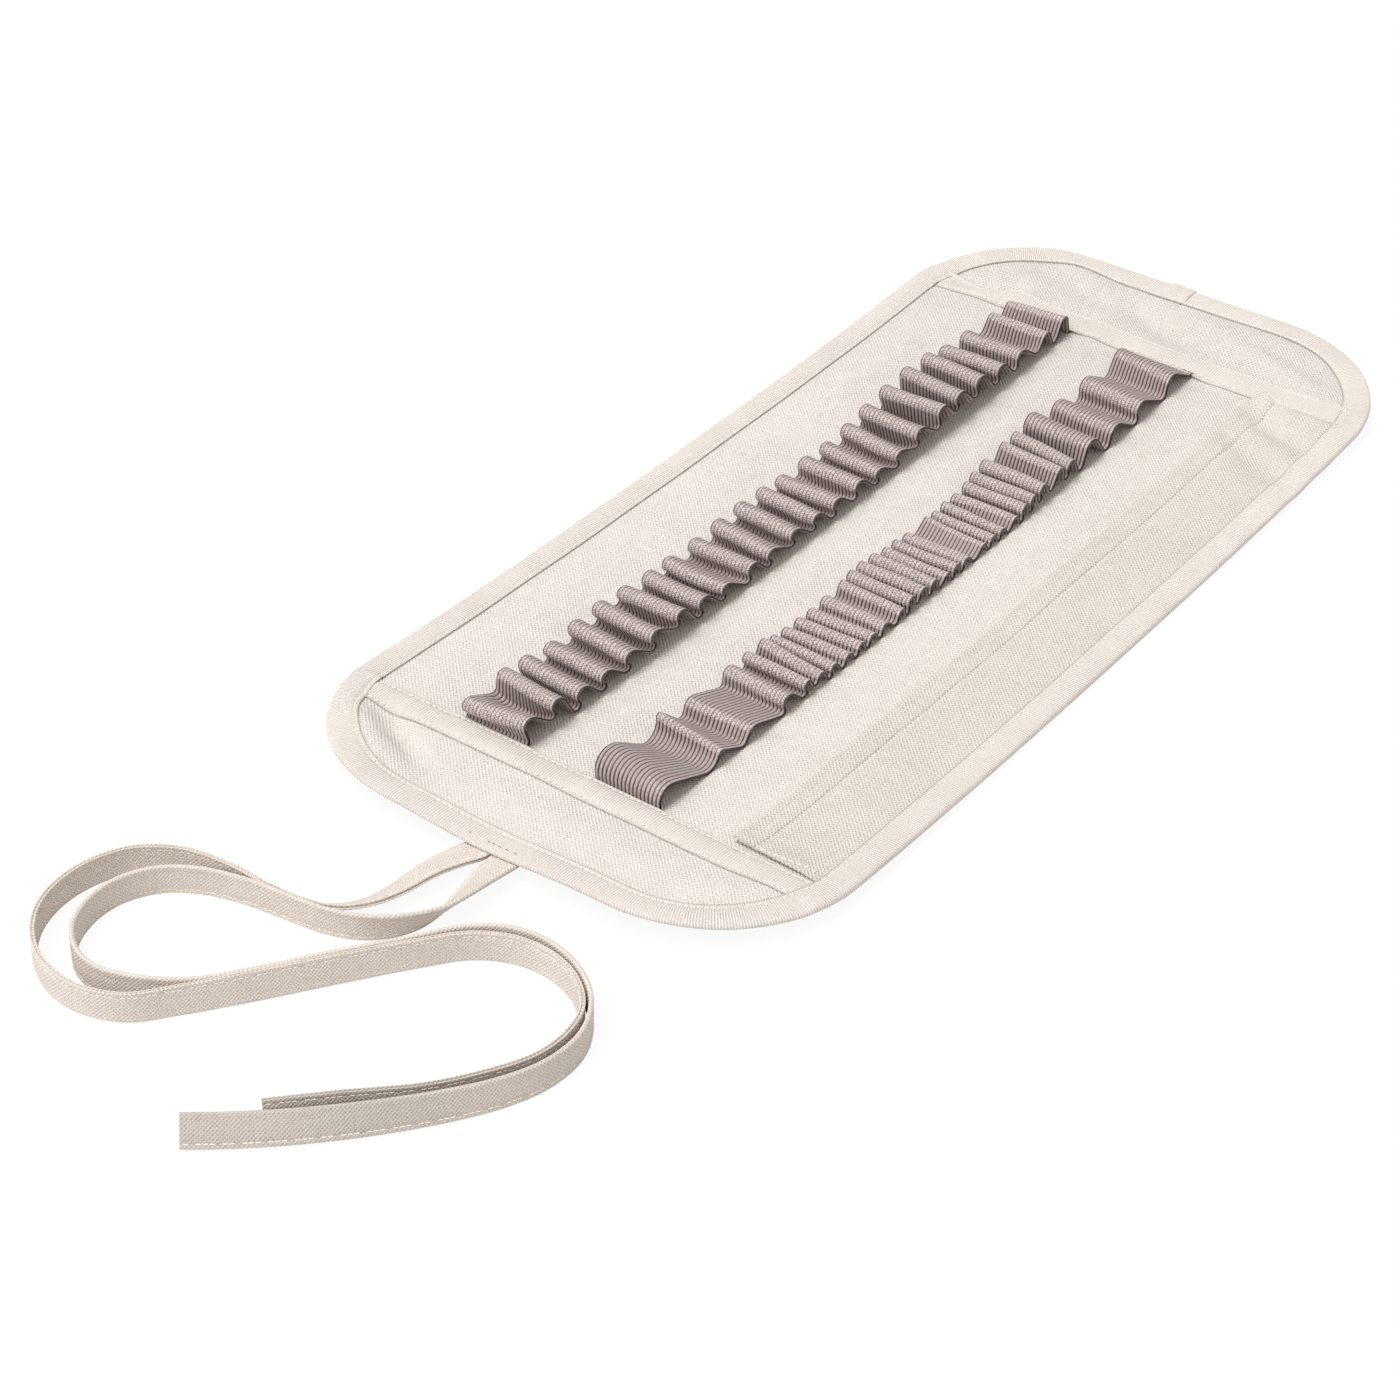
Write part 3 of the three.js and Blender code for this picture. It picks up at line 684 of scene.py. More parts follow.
# The section's points: 20 on top, nine round the fold, and 12 below. For each, the distance in from the
# mat's edge, and how far round the fold it is, from 0 on top to half a turn below.
round_fold = np.concatenate([np.zeros(20), np.linspace(0, math.pi, 11)[1:-1], np.full(12, math.pi)])
in_from_edge = FOLD_DEPTH * (1 - np.sin(round_fold))
in_from_edge[:20] = np.linspace(TAPE_WIDTH, FOLD_DEPTH, 20)
in_from_edge[-12:] = np.linspace(FOLD_DEPTH, TAPE_WIDTH, 12)


def binding(name, start, end, nodes):
    """The section at steps along the outline. Its top is a low crown less the groove of the seam.
    Round the fold the height goes down as a half ellipse. The inner face is the outer one moved in by
    the tape's thickness along the section's own normal."""
    s = walk_between(start, end)
    edge, out = (part[:, None] for part in outline(s))
    far = in_from_edge[None, :]
    groove = ridge(far, SEAM_INSET, 0.8) * (1 + 0.25 * np.sin(math.tau * s / STITCH_PITCH))[:, None]
    puff = 0.16 * np.sin(s / 7.3 + 2 * np.sin(s / 19)) + 0.1 * np.sin(s / 3.1)
    crown = (0.55 + puff[:, None]) * np.sin(math.pi * np.clip(far / SEAM_INSET, 0, 1)) ** 0.8
    top = BINDING_TOP + layers(edge, out, far) + crown - 0.42 * groove
    under = 0.3 * groove
    h = np.where(round_fold == math.pi, under, top * (1 + np.cos(round_fold)) / 2)
    slope_d, slope_h = np.gradient(np.broadcast_to(far, h.shape), axis=1), np.gradient(h, axis=1)
    size = np.hypot(slope_d, slope_h)
    inner_d, inner_h = far - TAPE_THICK * slope_h / size, h + TAPE_THICK * slope_d / size
    walk = np.concatenate([[0], np.cumsum(np.hypot(np.diff(in_from_edge), np.diff(h[0])))])
    x, y = np.moveaxis(edge - far[..., None] * out, -1, 0)
    inner_x, inner_y = np.moveaxis(edge - inner_d[..., None] * out, -1, 0)
    ground = lie(x, y)
    made = skin(name, stack(x, y, ground + h), stack(inner_x, inner_y, ground + inner_h),
                stack(s[:, None], np.minimum(walk, walk[-1] - walk)), tape, 50)
    bend(made, nodes)


# %% The binding in sixteen lengths
def walk_between(start, end):
    """Distances along the outline. The lap's cut end gets two rows so close that it makes a step."""
    cut = LEG_ENDS[6] + LAP_Y + straight_y
    steps = np.linspace(start, end, round(abs(end - start) / ROW_STEP) + 1)
    return np.sort(np.concatenate([steps, [cut - 0.03, cut + 0.03]])) if start < cut < end else steps


# Distances along the outline to each cut, on the left side, at y = +120, and on the right one
left_cuts, right_cuts = -cut_x, LEG_ENDS[4] + straight_x + cut_x
binding("edge_binding_near", left_cuts[0], right_cuts[0],
        ["near_binding", "left_binding_1", "right_binding_1"])
for length in range(2, 9):
    for side, cuts in (("left", left_cuts), ("right", right_cuts)):
        binding(f"edge_binding_{side}_{length}", cuts[length - 2], cuts[length - 1],
                [f"{side}_binding_{length}"])
binding("edge_binding_far", right_cuts[-1], AROUND + left_cuts[-1], ["far_binding"])
print("binding pieces:", 2 + 2 * 7)

# %% [markdown]
# ## The pocket
#
# A low strip of canvas is sewn along the near side, from one cross strip to the other. Its mouth has a
# 10 mm hem, folded over and stitched, and stands a little open. Its short near end is loose, and the
# photograph shows a dark slit there. The sheet is a grid as before, but its two faces are not the same
# shape: the lower one steps down where the hem makes it double.

# %% The pocket in seven lengths
MOUTH_Y, HEM, HEM_SEAM_Y, PLY = -67.2, 10.4, -77.9, 0.65
# Height of the pocket's lower face over the mat's underside
POCKET_BASE, FAR_CORNER_X = 1.6, 195.5


def pocket_thick(y):
    """One ply of cloth, and two from the mouth to the hem's fold, with a short step between."""
    return PLY + PLY * ease((y - (MOUTH_Y - HEM)) / 0.7)


def pocket_top(x, y):
    """Height of the pocket's face over the mat's underside: its plies, plus the lift of the mouth with
    a slow wave along it, the loose near end, the far corner on the strip, and a lip at the mouth's
    edge, less the groove of the hem's seam."""
    mouth = ease((y + 96) / 29)
    wavy = 0.35 + 0.35 * np.sin(x / 17 + 1.1 * np.sin(x / 41)) + 0.15 * np.sin(x / 6.1)
    loose = 1.25 * ease((-190 - x) / 11) * ease((y + 108) / 10)
    corner = 0.95 * ease((x - FAR_CORNER_X) / 3) * ease((y + 78) / 5)
    groove = 0.35 * ridge(y, HEM_SEAM_Y, 0.8)
    lip = 0.5 * ridge(y, MOUTH_Y - 1.6, 1.2)
    return POCKET_BASE + pocket_thick(y) + mouth * (0.45 + wavy * 0.5) + loose + corner + lip - groove


# Columns are closer at the mouth, whose edge is rounded, and at the step of the hem's fold.
fold_y = MOUTH_Y - HEM
columns = np.concatenate([MOUTH_Y - np.array([0, 0.12, 0.4, 0.9, 1.6]),
                          np.linspace(MOUTH_Y - 2.6, fold_y + 0.5, 6),
                          fold_y - np.array([0, 0.35, 0.7, 1.1, 1.6]), np.linspace(-81, -111, 18)])
rounding = np.pad([0.34, 0.16, 0.04], (0, len(columns) - 3))
pocket_cuts = [POCKET_ENDS[0], *cut_x[1:-1], POCKET_ENDS[1]]
for length in range(2, 9):
    low, high = pocket_cuts[length - 2:length]
    x = np.linspace(low, high, round((high - low) / ROW_STEP) + 1)[:, None]
    y = columns + 0.35 * np.sin(x / 23) * (columns > -79)
    x = x + np.where(x < POCKET_ENDS[0] + 0.1, (y + 100) * 0.03, 0)
    x = x + 2.6 * ease((x - FAR_CORNER_X) / 4) * ease((y + 78) / 5)
    top = lie(x, y) + pocket_top(x, columns)
    pocket = skin(f"low_pocket_{length - 1}", stack(x, y, top - rounding),
                  stack(x, y, top - pocket_thick(columns) + rounding), stack(x, y), pocket_canvas)
    bend(pocket, {2: ["pocket_1", "pocket_2"]}.get(length, [f"pocket_{length}"]))
    np.ptp(x) * MM
print("pocket from", round(MOUTH_Y), "to", round(columns[-1]), "mm")

# %% [markdown]
# ## Ribbed elastic
#
# The bands are flat knitted elastic in warm grey: rubber cores covered with yarn, which shows as 17
# raised ribs along it with narrow dark grooves between them. Where a loop turns over sharply the knit
# is stretched open, and pale yarn and dark gaps show as two rows of specks on each rib. On the steep
# face below that, the dark grooves are drawn wider: painted shade of a face turned from the light. So
# each point carries a second pair of values, the slope of the band there in radians and its curvature
# in 1/mm, and the finish follows them. Both edges are darker.

# %% Material: knitted elastic
BAND_WIDTH, GROOVE_PITCH, KNOT_PITCH = 32.0, 1.85, 1.0
ELASTIC_LIGHT, ELASTIC_MID, ELASTIC_DARK = "#ecdedc", "#b0a09e", "#312522"

elastic, tree, surface = cloth_shader("knitted elastic", 0.85, 0.1)
place, along, across = split_chart(tree)
bent = add(tree, "SeparateXYZ", [add(tree, "UVMap", uv_map="bent")]).outputs
open_knit = add(tree, "MapRange", [bent["Y"], 0.15, 0.27])
# Painted shade: on steep faces more of each rib takes the dark groove colour.
steep_shade = add(tree, "MapRange", [bent["X"], 0.75, 1.2, -0.55, 0.15])
rib = wave(tree, across, GROOVE_PITCH, math.pi / 2)
# Two rows of knots lie on each rib, and every other row starts half a knot further on.
row = add(tree, "Math", [across, 2 / GROOVE_PITCH, 0.5], operation="MULTIPLY_ADD")
row = add(tree, "Math", [row], operation="FLOOR")
knot = wave(tree, add(tree, "Math", [row, 0.5 * KNOT_PITCH, along], operation="MULTIPLY_ADD"), KNOT_PITCH)
worn = drift(tree, place, 0.9, 3, -0.5, 0.5)
filled = add(tree, "Math", [open_knit, 0.45], operation="MULTIPLY")
body = add(tree, "MapRange", [rib, -0.95, steep_shade, filled])
speck = add(tree, "Math", [knot, 0.55, worn], operation="MULTIPLY_ADD")
speck = add(tree, "Math", [speck, open_knit], operation="MULTIPLY")
quiet = add(tree, "Math", [worn, 0.4, 0.12], operation="MULTIPLY_ADD")
quiet = add(tree, "Math", [open_knit, 0.5, quiet], operation="MULTIPLY_ADD")
pale = add(tree, "Math", [speck, quiet], operation="ADD", use_clamp=True)
gap = add(tree, "MapRange", [speck, -0.1, -0.8, 1.0, 0.7])
body = add(tree, "Math", [body, gap], operation="MULTIPLY")
far_out = add(tree, "Math", [across], operation="ABSOLUTE")
selvedge = add(tree, "MapRange", [far_out, 15.1, 15.4, 1.0, 0.3])
yarn = add(tree, "Mix", {"Factor": pale, "A": linear(ELASTIC_MID), "B": linear(ELASTIC_LIGHT)},
           data_type="RGBA")
knots = add(tree, "Math", [knot, open_knit], operation="MULTIPLY")
raised = add(tree, "Math", [knots, 0.6, rib], operation="MULTIPLY_ADD")
finish_cloth(tree, surface, body, yarn, linear(ELASTIC_DARK), selvedge, raised, 0.2, 0.9)
print("elastic:", round(BAND_WIDTH / GROOVE_PITCH), "ribs across")

# %% [markdown]
# ## The looped bands
#
# Each band is one ribbon, sewn down at its middle again and again, so that it stands up in loops. The
# loops lean back towards the near end: each has a steep face, a round crest and a long easy slope.
# Cylinders would look stamped, so each half loop is the line that bent elastic takes: a curve in the
# valley, a straight flank, and a curve over the crest. The slope of the flank is the one angle at which
# both curves meet it, and it has a closed formula. It gives an overhang by itself where a crest stands
# over its own foot. The places of crests and valleys were read from the photograph, at both edges.

# %% The loops of the two bands
LEFT_BAND_Y, RIGHT_BAND_Y, BAND_THICK, BAND_TAIL = 47.0, -18.5, 1.0, 10.0
BAND_START, BAND_END, BAND_BASE = -203.2, 200.0, 2.1
# For each loop: crest x and height at the band's right edge, the same at its left edge, and the x and
# height of the valley after it at the right edge. Heights are over the mat's underside.
LEFT_LOOPS = np.array([
    (-201.0, 14.6, -201.6, 11.6, -186.3, 6.9), (-183.6, 15.2, -180.0, 14.4, -170.8, 2.2),
    (-167.8, 11.8, -166.7, 13.2, -153.9, 2.9), (-152.5, 11.5, -150.9, 11.7, -138.3, 3.7),
    (-136.8, 12.6, -134.7, 13.9, -121.4, 5.3), (-119.9, 14.0, -119.1, 14.9, -105.6, 8.3),
    (-102.4, 15.2, -102.9, 14.0, -89.7, 4.7), (-87.3, 13.2, -85.7, 12.5, -73.2, 4.3),
    (-72.0, 11.0, -72.4, 12.3, -56.0, 3.3), (-52.8, 11.6, -53.5, 12.4, -40.8, 3.9),
    (-39.2, 11.6, -37.2, 13.6, -23.8, 5.3), (-22.6, 12.6, -21.0, 14.0, -8.2, 4.9),
    (-6.2, 12.0, -4.8, 13.1, 6.6, 3.7), (9.0, 11.8, 9.4, 11.8, 22.4, 4.5),
    (25.9, 12.2, 27.2, 12.5, 39.9, 3.7), (41.2, 10.4, 43.0, 11.9, 55.4, 4.1),
    (57.5, 11.5, 59.5, 13.1, 70.9, 6.7), (73.6, 15.0, 73.7, 15.7, 88.2, 7.7),
    (91.7, 17.7, 89.8, 18.2, 103.2, 10.0), (106.0, 18.0, 106.3, 19.6, 119.4, 8.7),
    (122.7, 17.6, 123.8, 18.3, 137.0, 6.5), (140.5, 14.8, 138.6, 14.8, 152.6, 5.7),
    (157.2, 13.4, 156.6, 13.3, 171.4, 5.7), (180.0, 12.4, 180.0, 11.9, 186.5, 3.0),
    (195.5, 12.8, 195.2, 10.4, 200.0, 1.2)])
RIGHT_LOOPS = np.array([
    (-197.0, 10.6, -195.6, 14.4, -171.4, 0.6), (-163.4, 8.2, -162.6, 12.6, -148.6, 0.8),
    (-142.0, 8.0, -142.2, 9.0, -122.6, 1.2), (-118.8, 10.0, -117.2, 9.8, -107.2, 2.4),
    (-104.8, 9.6, -104.4, 9.9, -99.8, 4.0), (-95.2, 8.1, -93.4, 10.4, -89.6, 1.2),
    (-86.2, 7.5, -86.2, 8.3, -80.4, 0.6), (-75.5, 6.8, -77.6, 7.6, -71.2, 0.6),
    (-66.4, 7.0, -68.6, 7.2, -62.8, 0.8), (-58.6, 6.6, -59.6, 7.0, -53.6, 0.8),
    (-49.6, 6.8, -49.5, 7.6, -42.2, 1.0), (-37.2, 7.2, -36.3, 8.7, -34.0, 2.2),
    (-30.0, 9.4, -30.4, 10.4, -26.4, 3.6), (-21.0, 9.4, -23.0, 11.0, -17.0, 2.8),
    (-12.8, 9.0, -14.0, 10.2, -8.8, 2.2), (-3.2, 6.8, -4.6, 8.2, 0.3, 0.8),
    (4.0, 7.4, 2.9, 8.0, 7.2, 0.8), (11.6, 6.7, 11.6, 6.9, 17.6, 0.6),
    (25.0, 6.4, 26.8, 7.0, 28.8, 0.8), (32.4, 6.4, 33.6, 6.6, 36.8, 0.8),
    (40.0, 6.4, 40.8, 7.4, 44.4, 1.0), (50.6, 7.0, 49.4, 7.4, 54.6, 1.0),
    (57.8, 9.0, 58.2, 9.0, 61.8, 2.8), (64.8, 10.2, 64.0, 11.2, 69.0, 4.4),
    (72.6, 11.8, 72.2, 13.2, 78.6, 5.2), (86.0, 12.8, 87.6, 14.2, 90.8, 4.6),
    (95.4, 12.0, 97.4, 14.4, 102.8, 2.6), (112.0, 13.6, 109.4, 17.4, 125.4, 1.6),
    (133.4, 10.6, 132.8, 12.2, 150.2, 1.0), (155.4, 11.2, 157.0, 12.0, 174.6, 1.0),
    (182.4, 10.8, 186.6, 11.6, 200.0, 1.0)])
# Radii in mm: crest and valley of the steep half, then crest and valley of the easy half. The usual
# ones first, and then the loops of each band that differ.
USUAL = (2.8, 2.0, 10.0, 6.0)
LEFT_RADII, RIGHT_RADII = np.tile(USUAL, (len(LEFT_LOOPS), 1)), np.tile(USUAL, (len(RIGHT_LOOPS), 1))
LEFT_RADII[23:] = [(3.4, 4.0, 2.4, 2.4), (3.2, 3.4, 2.2, 1.2)]
RIGHT_RADII[:3] = [(8.0, 1.0, 14.0, 7.0), (1.2, 7.0, 2.5, 5.0), (3.5, 2.0, 12.0, 5.0)]
RIGHT_RADII[18] = (3.0, 5.0, 2.0, 2.0)
RIGHT_RADII[27:] = (4.5, 3.0, 9.0, 4.0)
# Rows of points in half a loop
HALF_LOOP_ROWS = 19


def half_loop(across, rise, crest, valley, t):
    """Half a loop from its valley to its crest, at shares t of its length. The flank's angle is
    atan2(free rise, half width) + asin(sum of radii / distance between the curves' centres), where
    the free rise is the rise less both radii. Gives the distance along and the height."""
    radii = crest + valley
    free = rise - radii
    angle = np.arctan2(free, across) + np.arcsin(np.clip(radii / np.hypot(across, free), 0, 0.999))
    flank = np.sqrt(np.maximum(across**2 + free**2 - radii**2, 0.001))
    whole = valley * angle + flank + crest * angle
    walked = t * whole
    low_turn = np.minimum(walked, valley * angle) / valley
    straight = np.clip(walked - valley * angle, 0, flank)
    high_turn = np.maximum(walked - valley * angle - flank, 0) / crest
    along = valley * np.sin(low_turn) + straight * np.cos(angle)
    up = valley * (1 - np.cos(low_turn)) + straight * np.sin(angle)
    return (along + crest * (np.sin(angle) - np.sin(angle - high_turn)),
            up + crest * (np.cos(angle - high_turn) - np.cos(angle)))


def fitted(across, rise, radii, share):
    """Radii of crest and valley, made smaller together where they must be. Their sum may reach a
    share of (rise^2 + width^2) / (2 rise), at which the two curves touch with no flank between."""
    crest, valley = radii[:, 0, None, None], radii[:, 1, None, None]
    scale = np.minimum(1, share * (rise**2 + across**2) / (2 * rise) / (crest + valley))
    return crest * scale, valley * scale


def looped_line(loops, radii, y, seed):
    """Rows of points for a set of loops, each a steep half and an easy half. A row has a point for
    every place y across the band. Crests run straight from edge to edge, but for a faint waver. Each
    valley is sewn down at the band's middle and lifts towards both edges with the power 2.5. Gives x
    and height."""
    random = np.random.default_rng(seed)
    v = y[None, None, :] / (BAND_WIDTH / 2)
    left = (1 + v) / 2
    low = loops[:, :, None, None]
    waver = 0.18 * np.sin(2.6 * v + random.uniform(0, math.tau, (len(loops), 1, 1)))
    shift = low[:, 2] - low[:, 0]
    top_x = low[:, 0] + shift * left + waver
    top_z = low[:, 1] + (low[:, 3] - low[:, 1]) * left - BAND_THICK / 2 - BAND_BASE + 0.6 * waver
    held = np.concatenate([(shift[:-1] + shift[1:]) / 2, 0 * shift[:1]]) * 0.6
    foot_x = low[:, 4] + held * left
    edge_z = np.maximum(low[:, 5] + BAND_THICK / 2 - BAND_BASE, 0)
    foot_z = edge_z * (1 - 0.35 * left) * np.abs(v) ** 2.5
    before_x = np.concatenate([np.full_like(foot_x[:1], BAND_START), foot_x[:-1]])
    before_z = np.concatenate([np.full_like(foot_z[:1], 0.02), foot_z[:-1]])
    t = np.linspace(0, 1, HALF_LOOP_ROWS)[None, :, None]
    near, rise = np.maximum(top_x - before_x, 0.6), top_z - before_z
    along, up = half_loop(near, rise, *fitted(near, rise, radii[:, :2], 0.97), t)
    x1, z1 = top_x - near + along, before_z + up
    far, drop = foot_x - top_x, top_z - foot_z
    along, up = half_loop(far, drop, *fitted(far, drop, radii[:, 2:], 0.8), t)
    x2, z2 = foot_x - along[:, ::-1], foot_z + up[:, ::-1]
    return (np.concatenate([a, b[:, 1:]], 1).reshape(-1, len(y)) for a, b in ((x1, x2), (z1, z2)))


def slope_and_curvature(slope_x, slope_z):
    """The slope is the angle of the line over the mat. The curvature is how fast it falls with the
    distance walked, averaged three times with its neighbours. It is above 0 on a crest."""
    slope = np.arctan2(slope_z, slope_x)
    curvature = -np.gradient(slope, axis=0) / np.hypot(slope_x, slope_z)
    for _ in range(3):
        curvature[1:-1] = (curvature[:-2] + 2 * curvature[1:-1] + curvature[2:]) / 4
    return np.stack([slope, curvature], -1)


def band(side, band_y, loops, radii, seed):
    """Seven lengths of ribbon. Each crosses one fold line and is cut at a valley in the bays beside it.
    Both faces lie half the thickness out along the line's normal, and less at the two edges."""
    y = np.concatenate([[-1, -0.985, -0.95], np.linspace(-0.9, 0.9, 25), [0.95, 0.985, 1]]) * BAND_WIDTH / 2
    half_thick = np.interp(np.abs(y), [0, 15.2, 15.76, 16], [1, 1, 0.8, 0.35]) * BAND_THICK / 2
    middle = len(y) // 2
    bays = np.searchsorted(fold_x[1:8] - 3, loops[:, 0]) + 1
    cuts = [int(np.flatnonzero(bays == bay)[0]) + (bays == bay).sum() // 2 for bay in range(2, 8)]
    cuts = [0, *cuts, len(loops)]
    x_all, z_all = looped_line(loops, radii, y, seed)
    rows = len(x_all) // len(loops)
    for length, (first, last) in enumerate(zip(cuts[:-1], cuts[1:]), 1):
        x, z = x_all[first * rows:last * rows], z_all[first * rows:last * rows]
        if length == 1:
            tail = np.linspace(NEAR_STRIP[1] - BAND_TAIL, BAND_START - 0.4, 7)[:, None] + 0 * x[:1]
            x, z = np.concatenate([tail, x]), np.concatenate([0 * tail, z])
        if length == 7:
            tail = np.linspace(BAND_END + 0.4, BAND_END + BAND_TAIL, 7)[:, None] + 0 * x[:1]
            x, z = np.concatenate([x, tail]), np.concatenate([z, 0 * tail])
        moved = np.hypot(np.diff(x, axis=0), np.diff(z, axis=0))
        keep = np.concatenate([[True], moved.max(axis=1) > 0.02])
        x, z = x[keep], z[keep]
        slope_x, slope_z = np.gradient(x, axis=0), np.gradient(z, axis=0)
        size = np.hypot(slope_x, slope_z)
        off_x, off_z = -slope_z / size * half_thick, slope_x / size * half_thick
        z_mat = lie(x[:, [middle]], band_y) + BAND_BASE + z
        walked = np.concatenate([[0], np.cumsum(np.hypot(np.diff(x[:, middle]), np.diff(z[:, middle])))])
        made = skin(f"looped_band_{side}_{length}", stack(x + off_x, band_y + y, z_mat + off_z),
                    stack(x - off_x, band_y + y, z_mat - off_z), stack(walked[:, None], y), elastic, 60,
                    slope_and_curvature(slope_x, slope_z))
        nodes = {1: [f"{side}_band_1", f"{side}_band_2"]}.get(length, [f"{side}_band_{length + 1}"])
        bend(made, nodes)
    print(side, "band:", len(loops), "loops, cut after loops", cuts[1:])
    print("its highest point is", round(float(z_all.max()), 1), "mm over its seam")


band("left", LEFT_BAND_Y, LEFT_LOOPS, LEFT_RADII, 7)
band("right", RIGHT_BAND_Y, RIGHT_LOOPS, RIGHT_RADII, 11)

# %% [markdown]
# ## The two cross strips
#
# A tape crosses the mat at each end of the bands and covers their cut tails, which make it rise over
# them. It is sewn along both edges, and its ends go under the binding. A plane would lie through the
# layers, so the height follows what is under each point.

# %% Cross strips
# Width, height of the face over the mat's underside, how far in the seams are, and where the ends are
# hidden in the binding, as a distance in from the mat's edge
STRIP_WIDTH, STRIP_TOP, STRIP_SEAM, STRIP_INSET = 14.0, 2.15, 1.7, 9.4
TAIL_HALF, TAIL_LIFT = 20, 1.05


def over_tails(x, y):
    """How far the tape is lifted over the tail of each band: a plateau with long soft ramps, which ends
    before the strip's outer edge."""
    plateau = sum(span(y - middle, -TAIL_HALF, TAIL_HALF, 9) for middle in (LEFT_BAND_Y, RIGHT_BAND_Y))
    return TAIL_LIFT * plateau * ease((x - NEAR_STRIP[0] - 0.4) / 4) * ease((FAR_STRIP[1] - 0.4 - x) / 4)


def strip(name, low, outer_ridge, body, node):
    """Rows along the strip and columns across it. The height is the cloth, plus the band's tail where
    there is one, a low crown, and a ridge along the outer edge, less a groove along each seam."""
    across = np.concatenate([[0, 0.08, 0.3], np.linspace(0.8, 13.2, 19), [13.7, 13.92, STRIP_WIDTH]])
    y = np.linspace(-1, 1, 159)[:, None] * half_width(low + across, STRIP_INSET)
    x = low + across + 0.25 * np.sin(y / 31)
    edge = np.minimum(across, STRIP_WIDTH - across)
    outer = across if low < 0 else STRIP_WIDTH - across
    groove = 0.45 * ridge(edge, STRIP_SEAM, 0.6) * (1 + 0.3 * np.sin(math.tau * y / STITCH_PITCH))
    crown = 0.5 * ease((edge - 1.5) / 3.5) + 0.1 * np.sin(y / 5.3 + 2 * np.sin(y / 17)) * ease(edge / 3)
    raised = outer_ridge * ridge(outer, 1.0, 1.3)
    rounded = 0.42 * (1 - np.clip(edge / 0.6, 0, 1)) ** 2
    top = lie(x, y) + STRIP_TOP + over_tails(x, y) + crown + raised - groove
    made = skin(name, stack(x, y, top - rounded), stack(x, y, top - TAPE_THICK), stack(y, edge), tape)
    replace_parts(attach(made, body), node)


strip("cross_strip_near", NEAR_STRIP[0], 0.25, bodies[1], "near_strip")
strip("cross_strip_far", FAR_STRIP[0], 0.8, bodies[8], "far_strip")
print("strips are", STRIP_WIDTH, "mm wide")

# %% [markdown]
# ## Seams
#
# Every seam in the photograph is a row of single stitches: round the binding, along both edges of each
# strip, below the hem, down the pocket's near end, across the band at each valley, and a short tack
# that holds the ties. A texture could draw them, but they catch light and cast small shadows, so they
# are made. They are sorted by the fold line that they are nearest to.
# The rows that go through the mat have a second row of stitches on its underside.

# %% Rows of stitches on the mat
# The strips' rows run this far to each side, and the bands' this far from the band's middle.
STRIP_ROW, BAND_ROW = 106, 5
UP = np.array([0, 0, 1.0])


def run(start, end, height):
    """Middles of stitches on a straight line over the mat, at a height over its underside."""
    start, end = np.array(start, float), np.array(end, float)
    count = max(int(np.linalg.norm(end - start) / STITCH_PITCH), 1)
    at = start + (end - start) * (np.arange(count) + 0.5)[:, None] / count
    return stack(*at.T, lie(*at.T) + height(*at.T)), np.tile(end - start, (count, 1))


def on_strip(x, y):
    """A stitch on a cross strip lies a little over its seam."""
    return STRIP_TOP + 0.07 + over_tails(x, y)


def on_pocket(x, y):
    """A stitch on the pocket lies a little over its face."""
    return pocket_top(x, y) + 0.1


def on_band(x, y):
    """A stitch in a valley lies on the upper face of the band."""
    return BAND_BASE + BAND_THICK / 2


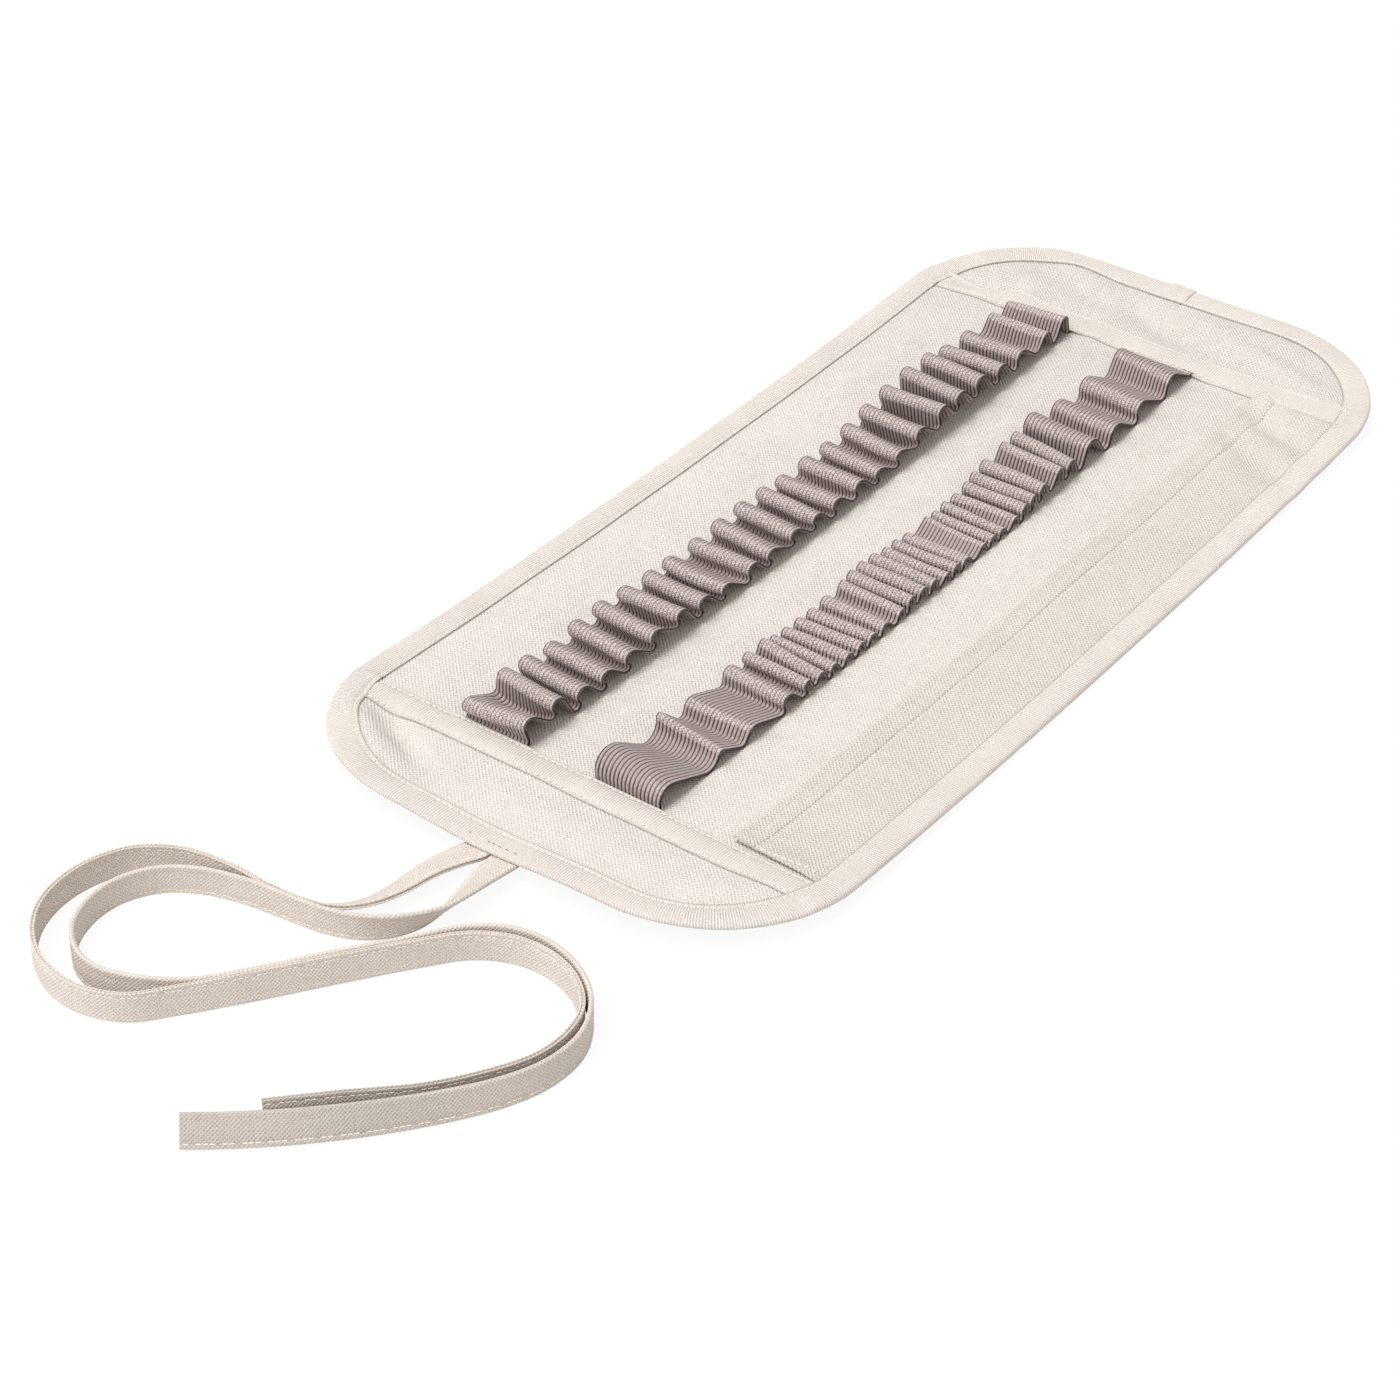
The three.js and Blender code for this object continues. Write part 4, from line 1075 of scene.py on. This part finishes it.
edge, out = outline(np.arange(0, AROUND, STITCH_PITCH))
at = edge - SEAM_INSET * out
level = lie(*at.T) + BINDING_TOP + layers(edge, out, SEAM_INSET) - 0.16
rows = [(stack(*at.T, level), stack(-out[:, 1], out[:, 0]))]
for low, high in (NEAR_STRIP, FAR_STRIP):
    for x in (low + STRIP_SEAM, high - STRIP_SEAM):
        rows.append(run((x, -STRIP_ROW), (x, STRIP_ROW), on_strip))
rows.append(run((-201.2, HEM_SEAM_Y), (198.6, HEM_SEAM_Y), on_pocket))
rows.append(run((-201.0, -79), (-198.2, -104), on_pocket))
on_top = sum(len(row[0]) for row in rows)
for loops, band_y in ((LEFT_LOOPS, LEFT_BAND_Y), (RIGHT_LOOPS, RIGHT_BAND_Y)):
    for x in loops[:-1, 4]:
        rows.append(run((x, band_y - BAND_ROW), (x, band_y + BAND_ROW), on_band))
places, directions = (np.concatenate(parts) for parts in zip(*rows))
directions = stack(*directions.T, 0)
print(on_top, "stitches in the rows on top,", len(places) - on_top, "in the valleys of the bands")

# %% The seams in nine lengths
# Below, the cloth is the lowest layer, but under the binding the binding is.
x, y = places[:, 0], places[:, 1]
on_cloth = half_width(x, 11.9) > np.abs(y)
low_places = stack(x, y, lie(x, y) + np.where(on_cloth, CLOTH_LOW - 0.05, 0.2))
lengths = np.searchsorted(cut_x, x)
in_band = np.arange(len(places)) >= on_top
for length in range(1, 10):
    below = lengths == length - 1
    shown, tacks = below & ~in_band, below & in_band
    made = [seam(f"seams_{length}", np.concatenate([places[shown], low_places[below]]),
                 np.concatenate([directions[shown], directions[below]]),
                 np.repeat([UP, -UP], [shown.sum(), below.sum()], axis=0))]
    if tacks.any():
        made.append(seam(f"band_tacks_{length}", places[tacks], directions[tacks], UP, grey_thread))
    for row in made:
        bend(row)
print("stitches below:", len(low_places))

# %% The tack that holds the ties
TACK_X, TACK_LIFT, TACK_SIZE = -258.4, 3.0, 0.6
# Its darker first colour, at the stitch ends, is painted shade of the needle holes.
brown_thread = spun_thread("brown tack thread", "#5b4c3f", "#a08f7c")
tack_y = np.array([13.6, 4.4, 2.1, -1.0, -4.4, -8.6])
tack_at = stack(TACK_X, tack_y, lie(TACK_X, tack_y) + TACK_LIFT)
tack = seam("tie_tack", tack_at, np.tile([0.2, 1.0, 0], (len(tack_y), 1)), UP, brown_thread, TACK_SIZE)
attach(tack, bodies[0])
print("the tack has", len(tack_y), "stitches")
